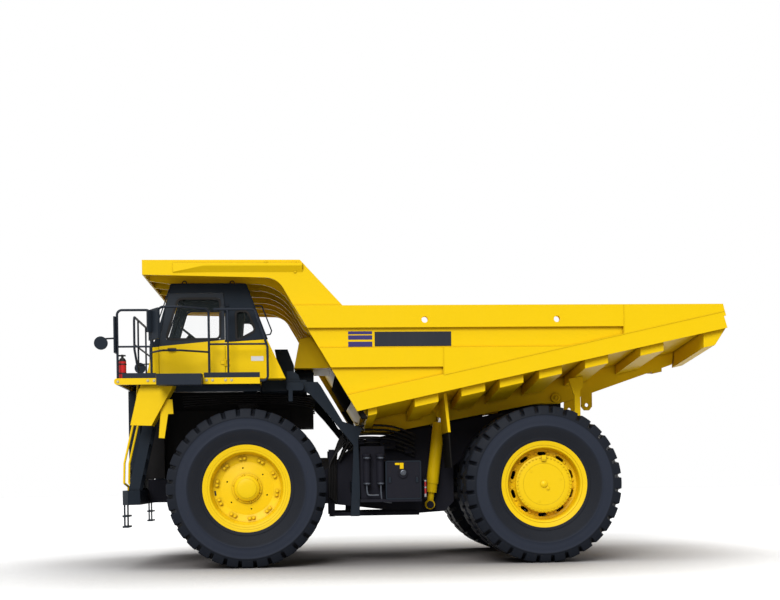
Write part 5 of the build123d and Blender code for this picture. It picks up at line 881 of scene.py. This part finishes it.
def front_hub_fittings():
    """Hub cap with its bolted ring, ten pairs of clamp nuts on pads, and the ring that locks the rim."""
    form = bmesh.new()
    add_turned(form, [(0.150, 0.222), (0.160, 0.231), (0.146, 0.235), (0.080, 0.239), (0.0, 0.240)], 64, STILL)
    bolted_ring = [(0.198, 0.150), (0.204, 0.150), (0.240, 0.146), (0.246, 0.140), (0.246, 0.112), (0.198, 0.112)]
    add_turned(form, bolted_ring, 64, STILL, closed=True)
    for degrees in turns(6, 44):
        add_bolt(form, round_hub(STILL, 0.225, degrees, 0.146), across=0.030, height=0.020)
    pad_outline = [(-0.026, -0.064), (0.026, -0.064), (0.030, 0.0), (0.026, 0.064), (-0.026, 0.064)]
    for degrees in turns(10, 26):
        pad = round_hub(STILL, 0.497, degrees)
        add_prism(form, pad_outline, 0.095, 0.121, pad)
        for along in (-0.032, 0.032):
            add_bolt(form, pad @ Matrix.Translation((0, along, 0.121)), across=0.038, height=0.034)
    lock_ring = [
        (0.604, 0.286), (0.608, 0.293), (0.634, 0.297), (0.640, 0.292),
        (0.646, 0.298), (0.676, 0.302), (0.680, 0.296), (0.680, 0.286),
    ]
    add_turned(form, lock_ring, 128, STILL, closed=True)
    return mesh_from(form, "front_hub_fittings", FITTING_ANGLE)


rear_rims = rear_rim_mesh()
rear_fittings = rear_hub_fittings()
front_fittings = front_hub_fittings()
valve_form = bmesh.new()
add_prism(valve_form, stadium(0.085, 0.026), 0.100, 0.1165, round_hub(STILL, 0.529, 8))
valve_mesh = mesh_from(valve_form, "valve_slot")
for side_name, side in SIDES:
    rear_body = f"rear_wheels_{side_name}"
    front_body = f"front_wheel_{side_name}"
    rear_place = outward(REAR_AXLE_X, side * TWIN_Y, TYRE_RADIUS, side)
    front_place = outward(FRONT_AXLE_X, side * FRONT_WHEEL_Y, TYRE_RADIUS, side)
    for name, mesh, paint, slot, body, place, stands_for in (
        ("slotted_rear_rims", rear_rims, rim_paint, "rim_yellow", rear_body, rear_place, [f"rear_rims_{side_name}"]),
        ("rear_hub_fittings", rear_fittings, rim_paint, "rim_yellow", rear_body, rear_place, []),
        ("front_hub_fittings", front_fittings, rim_paint, "rim_yellow", front_body, front_place, []),
        ("valve_slot", valve_mesh, black_plastic, "mirror_black", front_body, front_place, []),
    ):
        new_piece(f"{name}_{side_name}", mesh, paint, body, stands_for).matrix_world = place


# Body sides: three stripes and the bare badge panel, in millimetres
SKIN_FACE_Y = 2699
STRIPE_THICKNESS = 4
BADGE_THICKNESS = 5
STRIPES = [(3816, 3864), (3728, 3798), (3610, 3694)]
stripe_form = bmesh.new()
badge_form = bmesh.new()
for _, side in SIDES:
    for low_z, high_z in STRIPES:
        low = from_front(-2091, side * SKIN_FACE_Y, low_z)
        high = from_front(-1697, side * (SKIN_FACE_Y + STRIPE_THICKNESS), high_z)
        add_plate(stripe_form, low, high, chamfer=THIN_CHAMFER)
    low = from_front(-3392, side * SKIN_FACE_Y, 3616)
    high = from_front(-2131, side * (SKIN_FACE_Y + BADGE_THICKNESS), 3855)
    add_plate(badge_form, low, high, chamfer=THIN_CHAMFER)
panel("side_stripes", stripe_form, navy_paint, "bed")
panel("badge_panels", badge_form, badge_paint, "bed")

# Weld beads along the lower rail's upper edge and where the flush panels begin
WELD_RUNS = [((-3262, 3136), (-7980, 4161)), ((-6272, 3794), (-6272, 4272)), ((-3254, 3142), (-3254, 3592))]
WELD_STEPS = 16
RAIL_FACE_LEAST_Y = 2.74
weld_runs = []
for (start_x, start_z), (end_x, end_z) in WELD_RUNS:
    for side_name, side in SIDES:
        bead = []
        for step in range(WELD_STEPS + 1):
            share = step / WELD_STEPS
            spot = from_front(start_x + (end_x - start_x) * share, 0, start_z + (end_z - start_z) * share)
            surface = side_surface(f"dump_side_{side_name}", spot.x, spot.z - 0.010, side)
            if surface is not None and abs(surface) > RAIL_FACE_LEAST_Y:
                bead.append(Vector((spot.x, surface + side * 0.001, spot.z)))
        if len(bead) >= 3:
            weld_runs.append(bead)
tubes("rail_weld_beads", weld_runs, 0.006, yellow_paint, "bed", order=2)


# Bolt heads on the canopy's guard and along the deck's edge
def add_side_bolts(form, places, carriers, least_y, across):
    """Bolt heads on both sides at (x, z) places, each on the first carrier that lies there and far enough out."""
    for x, z in places:
        for side_name, side in SIDES:
            spot = from_front(x, 0, z)
            found = [side_surface(carrier.format(side_name), spot.x, spot.z, side) for carrier in carriers]
            surface = next((y for y in found if y), None)
            if surface is not None and abs(surface) > least_y:
                add_bolt(form, outward(spot.x, surface, spot.z, side), across, 0.014)


GUARD_BOLTS = [
    (617, 4989), (617, 4838), (129, 4995), (130, 4843), (-376, 4997),
    (-374, 4842), (-847, 4990), (-847, 4840), (977, 4922), (804, 4950),
]
guard_form = bmesh.new()
add_side_bolts(guard_form, GUARD_BOLTS, ("dump_front_wall", "dump_side_{}"), 2.5, 0.030)
fitting("guard_bolts", guard_form, yellow_paint, "bed")

DECK_BOLTS = [(2055, 3083), (1572, 3099), (1471, 3098), (623, 3099), (526, 3099), (314, 3098), (216, 3098)]
deck_bolt_form = bmesh.new()
add_side_bolts(deck_bolt_form, DECK_BOLTS, ("deck",), 2.3, 0.027)
fitting("deck_edge_bolts", deck_bolt_form, bolt_zinc, "chassis")


# Cab: window rubbers, door handle and lock, a bare plate, lifting eyes, roof gutters and wiper
def outline_from_front(points):
    """Outline on the cab's side from millimetres ahead of the front axle and above the ground."""
    return [tuple(from_front(x, 0, z).xz) for x, z in points]


RUBBER_HALF_WIDTH = 0.018
DOOR_WINDOW = rounded_outline(outline_from_front([(1300, 3800), (1095, 4472), (402, 4472), (410, 3800)]), 0.09)
QUARTER_WINDOW = rounded_outline(outline_from_front([(139, 3770), (152, 4262), (-46, 4262), (-175, 3935)]), 0.07)
door_trim = bmesh.new()
add_band(door_trim, DOOR_WINDOW, RUBBER_HALF_WIDTH, CAB_SIDE_Y - 0.012, CAB_SIDE_Y + 0.006)
panel("door_window_rubber", door_trim, window_rubber, "door")
cab_trim = bmesh.new()
add_band(cab_trim, QUARTER_WINDOW, RUBBER_HALF_WIDTH, CAB_SIDE_Y - 0.012, CAB_SIDE_Y + 0.006)
for outline in (DOOR_WINDOW, QUARTER_WINDOW):
    add_band(cab_trim, outline, RUBBER_HALF_WIDTH, CAB_INNER_Y - 0.006, CAB_INNER_Y + 0.012)
panel("cab_window_rubbers", cab_trim, window_rubber, "chassis")

handle_form = bmesh.new()
add_plate(handle_form, from_front(1132, 2246, 3600), from_front(1276, 2262, 3652), chamfer=0.006)
add_plate(handle_form, from_front(1150, 2286, 3613), from_front(1262, 2302, 3639), chamfer=0.006)
add_plate(handle_form, from_front(1240, 2258, 3616), from_front(1262, 2290, 3636), chamfer=0.004)
lock_place = outward(*from_front(1336, 2249, 3620), 1)
add_turned(handle_form, [(0.017, 0.0), (0.017, 0.006), (0.012, 0.010), (0.0, 0.010)], 20, lock_place)
panel("door_handle", handle_form, rail_paint, "door")

label_form = bmesh.new()
add_plate(label_form, from_front(-299, 2249, 3432), from_front(-95, 2252, 3510), chamfer=THIN_CHAMFER)
panel("bare_cab_plate", label_form, plate_white, "chassis")

EYE_LOOP = [(-38, 4700), (-38, 4752), (0, 4775), (38, 4752), (38, 4700)]
eye_runs = [[from_front(x + dx, y, z) for dx, z in EYE_LOOP] for x in (988, 202) for y in (2190, 640)]
tubes("cab_lifting_eyes", eye_runs, 0.009, slate_paint, "chassis")
GUTTER = [(1560, 3700), (1206, 4700), (1190, 4712), (-10, 4712), (-28, 4700), (-368, 3790)]
gutter_runs = [[from_front(x, y, z) for x, z in GUTTER] for y in (2256, 554)]
tubes("roof_gutters", gutter_runs, 0.010, slate_paint, "chassis", order=2)

wiper_runs = [
    [from_front(1476, 1400, 3830), from_front(1390, 1330, 4060), from_front(1312, 1150, 4340)],
    [from_front(1400, 1100, 4040), from_front(1312, 1130, 4330), from_front(1270, 1140, 4460)],
]
tubes("windshield_wiper", wiper_runs, 0.008, black_plastic, "chassis")


# Caps over the body's pivot pins
PIVOT_X = REAR_AXLE_X - 0.512
PIVOT_Z = 2.851
PIVOT_CAP = [(0.082, -0.016), (0.082, 0.0), (0.074, 0.010), (0.050, 0.012), (0.044, 0.004), (0.0, 0.004)]
pivot_form = bmesh.new()
pivot_pin_y = side_surface("main_frame", PIVOT_X, PIVOT_Z, 1)
for _, side in SIDES:
    cap = outward(PIVOT_X, side * (pivot_pin_y + 0.001), PIVOT_Z, side)
    add_turned(pivot_form, PIVOT_CAP, 40, cap)
    add_bolt(pivot_form, cap @ Matrix.Translation((0, 0, 0.004)), across=0.046, height=0.022)
fitting("pivot_caps", pivot_form, yellow_paint, "chassis")

# Headlamps and tail lamps
BEZEL = [(0.084, -0.018), (0.088, 0.006), (0.080, 0.012), (0.072, 0.006), (0.072, 0.001)]
LAMP_FACE_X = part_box("headlamps")[1][0]
FRAME_END_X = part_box("main_frame")[0][0]
lens_form = bmesh.new()
bezel_form = bmesh.new()
bowl_form = bmesh.new()
tail_form = bmesh.new()
for _, side in SIDES:
    for z in (1.449, 1.659):
        lamp = Matrix.Translation((LAMP_FACE_X, side * 1.005, z)) @ Matrix.Rotation(math.radians(90), 4, "Y")
        add_turned(bezel_form, BEZEL, 40, lamp, closed=True)
        add_turned(bowl_form, [(0.072, 0.001), (0.055, 0.002), (0.030, 0.0015), (0.0, 0.001)], 40, lamp)
        add_turned(lens_form, [(0.073, 0.004), (0.060, 0.008), (0.035, 0.011), (0.0, 0.012)], 40, lamp)
    for y in (0.56, 0.68):
        lamp = Matrix.Translation((FRAME_END_X, side * y, 1.62)) @ Matrix.Rotation(math.radians(-90), 4, "Y")
        add_turned(tail_form, [(0.046, -0.002), (0.048, 0.016), (0.040, 0.024), (0.0, 0.028)], 28, lamp)
fitting("headlamp_bezels", bezel_form, black_plastic, "chassis")
fitting("headlamp_bowls", bowl_form, lamp_bowl, "chassis")
panel("headlamp_lenses", lens_form, lens_glass, "chassis", LENS_ANGLE)
fitting("tail_lamps", tail_form, tail_lens, "chassis")

# Service box: cap, two bare plates and the frame round its door with two hinges
RACK_SIDE_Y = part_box("service_rack")[1][1]
BOX_CAP = [(0.052, -0.002), (0.052, 0.010), (0.042, 0.018), (0.030, 0.020), (0.028, 0.010), (0.0, 0.010)]


def on_rack(x, z, out):
    """A place by the service rack's outer side, given in millimetres like from_front's, and metres out of it."""
    return Vector((FRONT_AXLE_X + x / 1000, RACK_SIDE_Y + out, z / 1000))


box_form = bmesh.new()
cap_place = from_front(-2618, 0, 1541)
cap_surface = side_surface("service_rack", cap_place.x, cap_place.z, 1)
add_turned(box_form, BOX_CAP, 28, outward(cap_place.x, cap_surface, cap_place.z, 1))
fitting("box_cap", box_form, pipe_steel, "chassis")
yellow_plates = bmesh.new()
add_plate(yellow_plates, on_rack(-2560, 1672, -0.020), on_rack(-2480, 1708, -0.017), chamfer=THIN_CHAMFER)
add_plate(yellow_plates, on_rack(-2626, 1604, -0.020), on_rack(-2562, 1708, -0.017), chamfer=THIN_CHAMFER)
fitting("bare_box_plates", yellow_plates, yellow_paint, "chassis")
box_trim = bmesh.new()
box_low = from_front(-2913, 0, 1098)
box_high = from_front(-2329, 0, 1733)
box_rim = [(box_low.x, box_low.z), (box_high.x, box_low.z), (box_high.x, box_high.z), (box_low.x, box_high.z)]
add_band(box_trim, rounded_outline(box_rim, 0.02), 0.012, 1.985, 2.004)
for x in (box_low.x + 0.06, box_high.x - 0.06):
    add_plate(box_trim, (x - 0.022, 1.99, box_low.z + 0.27), (x + 0.022, 2.014, box_low.z + 0.37), chamfer=0.004)
fitting("box_door_frame", box_trim, slate_paint, "chassis")

# Tall gauge with red and white marks beside the hoist foot
gauge_back = bmesh.new()
gauge_white = bmesh.new()
gauge_red = bmesh.new()
add_plate(gauge_back, from_front(-3068, 1470, 1085), from_front(-3004, 1496, 1440), chamfer=0.004)
for form, marks in (
    (gauge_white, ((1383, 1412), (1268, 1296), (1118, 1172))),
    (gauge_red, ((1297, 1382), (1173, 1267))),
):
    for low_z, high_z in marks:
        add_plate(form, from_front(-3051, 1495, low_z), from_front(-3020, 1500, high_z), chamfer=THIN_CHAMFER)
for z in (1140, 1385):
    add_plate(gauge_back, from_front(-3048, 800, z - 12), from_front(-3024, 1475, z + 12), chamfer=0.003)
fitting("gauge_backing", gauge_back, rack_paint, "chassis")
panel("gauge_white_marks", gauge_white, plate_white, "chassis")
panel("gauge_red_marks", gauge_red, red_paint, "chassis")

# Hydraulic lines and valve blocks along the frame, behind and above the front wheels
line_runs = []
for k in range(6):
    y = 900 + 55 * (k % 3)
    z = 2020 + 75 * k
    line_runs.append([
        from_front(-1560 - 40 * k, y, z - 260),
        from_front(-1700, y, z - 40),
        from_front(-2100, y, z),
        from_front(-2600, y + 30, z - 30),
        from_front(-2900, y, z - 190),
    ])
for k in range(5):
    y = 880 + 40 * k
    line_runs.append([
        from_front(-1500 + 28 * k, y, 1010 + 30 * k),
        from_front(-1490 + 30 * k, y, 1500),
        from_front(-1520 + 30 * k, y, 2050 - 60 * k),
        from_front(-1650, y, 2260 - 50 * k),
    ])
tubes("frame_lines", both_sides(line_runs), 0.019, hose_black, "chassis")
upper_runs = []
for k in range(5):
    y = 910 + 55 * k
    upper_runs.append([
        from_front(-1150, y, 2700 + 40 * k),
        from_front(-800, y + 20, 2790 + 30 * k),
        from_front(-200, y, 2800 + 35 * k),
        from_front(500, y - 15, 2815 + 30 * k),
        from_front(1150, y, 2760 + 40 * k),
    ])
tubes("deck_lines", both_sides(upper_runs), 0.017, hose_black, "chassis")
VALVE_BLOCKS = [
    ((-2560, 860, 1960), (-2290, 1010, 2160)),
    ((-2010, 860, 2050), (-1830, 1000, 2190)),
    ((-2860, 860, 1880), (-2720, 960, 2050)),
]
block_form = bmesh.new()
for _, side in SIDES:
    for (low_x, low_y, low_z), (high_x, high_y, high_z) in VALVE_BLOCKS:
        near_y, far_y = sorted((side * low_y, side * high_y))
        low = from_front(low_x, near_y, low_z)
        high = from_front(high_x, far_y, high_z)
        add_plate(block_form, low, high, chamfer=0.008)
        for dx in (-0.06, 0.0, 0.06):
            spot = ((low.x + high.x) / 2 + dx, side * max(abs(low.y), abs(high.y)), (low.z + high.z) / 2)
            add_bolt(block_form, outward(*spot, side), across=0.030, height=0.026)
fitting("valve_blocks", block_form, rack_paint, "chassis")

# Clamps round the filter bowls, and the drain pipes below them
FILTER_CLAMP = [(0.058, -0.014), (0.066, -0.012), (0.066, 0.012), (0.058, 0.014)]
filter_form = bmesh.new()
for x in (-2006, -2240):
    for z in (1365, 1800):
        add_turned(filter_form, FILTER_CLAMP, 36, Matrix.Translation(on_rack(x, z, -0.075)), closed=True)
fitting("filter_clamps", filter_form, pipe_steel, "chassis")
DRAINS = [
    [(-2000, 1930, 1330), (-2000, 1935, 1180), (-2060, 1940, 1160), (-2200, 1930, 1165)],
    [(-2240, 1930, 1330), (-2240, 1930, 1100), (-2290, 1930, 1050), (-2420, 1900, 1035)],
]
drain_runs = [[from_front(*spot) for spot in drain] for drain in DRAINS]
tubes("filter_drains", drain_runs, 0.017, pipe_steel, "chassis")

# Fire extinguisher: valve on its neck and two straps
STRAP = [(0.0635, -0.010), (0.067, -0.010), (0.067, 0.010), (0.0635, 0.010)]
bottle_form = bmesh.new()
bottle_low, bottle_high = (Vector(corner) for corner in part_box("fire_extinguisher"))
bottle = (bottle_low + bottle_high) / 2
valve_low = (bottle.x - 0.055, bottle.y - 0.012, bottle_high.z - 0.030)
valve_high = (bottle.x + 0.075, bottle.y + 0.012, bottle_high.z - 0.004)
add_plate(bottle_form, valve_low, valve_high, chamfer=0.004)
for z in (bottle_low.z + 0.09, bottle_low.z + 0.24):
    add_turned(bottle_form, STRAP, 32, Matrix.Translation((bottle.x, bottle.y, z)), closed=True)
fitting("extinguisher_fittings", bottle_form, black_plastic, "chassis")


# Floor and sky
GROUND_HALF = 90.0
AMBIENT = 0.27


def seen_rays(tree):
    """1 for the camera's rays and those by gloss or through glass, 0 for the rays that light the truck."""
    rays = node(tree, "ShaderNodeLightPath").outputs
    seen = math_node(tree, "MAXIMUM", rays["Is Camera Ray"], rays["Is Glossy Ray"])
    return math_node(tree, "MAXIMUM", seen, rays["Is Transmission Ray"])


ground_form = bmesh.new()
add_plate(ground_form, (-GROUND_HALF, -GROUND_HALF, -0.10), (GROUND_HALF, GROUND_HALF, 0.0), chamfer=0.01)
ground_mesh = mesh_from(ground_form, "studio_floor")
in_scene("studio_floor", ground_mesh)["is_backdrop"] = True
floor_material, floor_tree, floor_shader = new_material("pale_floor")
# Painted shadow: the floor darkens by ambient occlusion where the truck stands over it
contact = node(floor_tree, "ShaderNodeAmbientOcclusion", {"Distance": 4.6}, samples=8)
shadow_weight = math_node(floor_tree, "POWER", contact.outputs["AO"], 2.3)
floor_shade = mix_colours(floor_tree, shadow_weight, (0.22, 0.205, 0.20, 1), (0.95, 0.95, 0.95, 1))
feed(floor_tree, floor_shader, {
    "Base Color": mix_colours(floor_tree, seen_rays(floor_tree), (0.40, 0.385, 0.37, 1), floor_shade),
    "Roughness": 1.0,
    "Specular IOR Level": 0.0,
})
ground_mesh.materials.append(floor_material)

world = bpy.data.worlds.new("studio_sky")
bpy.context.scene.world = world
world.use_nodes = True
sky_tree = world.node_tree
level = math_node(sky_tree, "MULTIPLY", seen_rays(sky_tree), 1.0 - AMBIENT)
feed(sky_tree, sky_tree.nodes["Background"], {
    "Color": (1.0, 1.0, 1.0, 1.0),
    "Strength": math_node(sky_tree, "ADD", level, AMBIENT),
})


# Light
def add_soft_sun(name, towards, spread, strength):
    """Wide soft light from far away: the direction it comes from, its spread in degrees and strength."""
    data = bpy.data.lights.new(name, "SUN")
    data.angle = math.radians(spread)
    data.energy = strength
    lamp = in_scene(name, data)
    lamp.location = Vector(towards) * 10
    lamp.rotation_euler = (-Vector(towards)).to_track_quat("-Z", "Y").to_euler()


add_soft_sun("key_light", (0.28, 1.0, 0.64), 32.0, 2.6)
add_soft_sun("top_light", (0.1, 0.25, 1.0), 60.0, 0.95)
add_soft_sun("far_side_light", (-0.5, -1.0, 0.9), 50.0, 1.5)

# Camera fitted to the photograph of 780 by 600 pixels
IMAGE_WIDTH = 780.0
IMAGE_HEIGHT = 600.0
FOCAL_PIXELS = 1321.16
CENTRE_PIXEL = (414.66, 475.72)
CAMERA_PLACE = (FRONT_AXLE_X - 1.0506, 24.3427, 1.4863)
CAMERA_YAW = math.radians(4.508)
CAMERA_ROLL = math.radians(-0.812)
camera_data = bpy.data.cameras.new("photo_camera")
camera_data.sensor_fit = "HORIZONTAL"
camera_data.sensor_width = 36.0
camera_data.lens = camera_data.sensor_width * FOCAL_PIXELS / IMAGE_WIDTH
camera_data.shift_x = (IMAGE_WIDTH / 2 - CENTRE_PIXEL[0]) / IMAGE_WIDTH
camera_data.shift_y = (CENTRE_PIXEL[1] - IMAGE_HEIGHT / 2) / IMAGE_WIDTH
camera_data.clip_end = 300.0
camera = in_scene("photo_camera", camera_data)
bpy.context.scene.camera = camera
forward = Vector((-math.sin(CAMERA_YAW), -math.cos(CAMERA_YAW), 0.0))
level_right = forward.cross(Vector((0, 0, 1))).normalized()
level_up = level_right.cross(forward)
right = level_right * math.cos(CAMERA_ROLL) + level_up * math.sin(CAMERA_ROLL)
up = -level_right * math.sin(CAMERA_ROLL) + level_up * math.cos(CAMERA_ROLL)
turn = Matrix((right, up, -forward)).transposed()
camera.matrix_world = Matrix.Translation(CAMERA_PLACE) @ turn.to_4x4()

bpy.context.scene.view_settings.view_transform = "Standard"

corners = {"cad": CAD_BOX, "scene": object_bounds()}
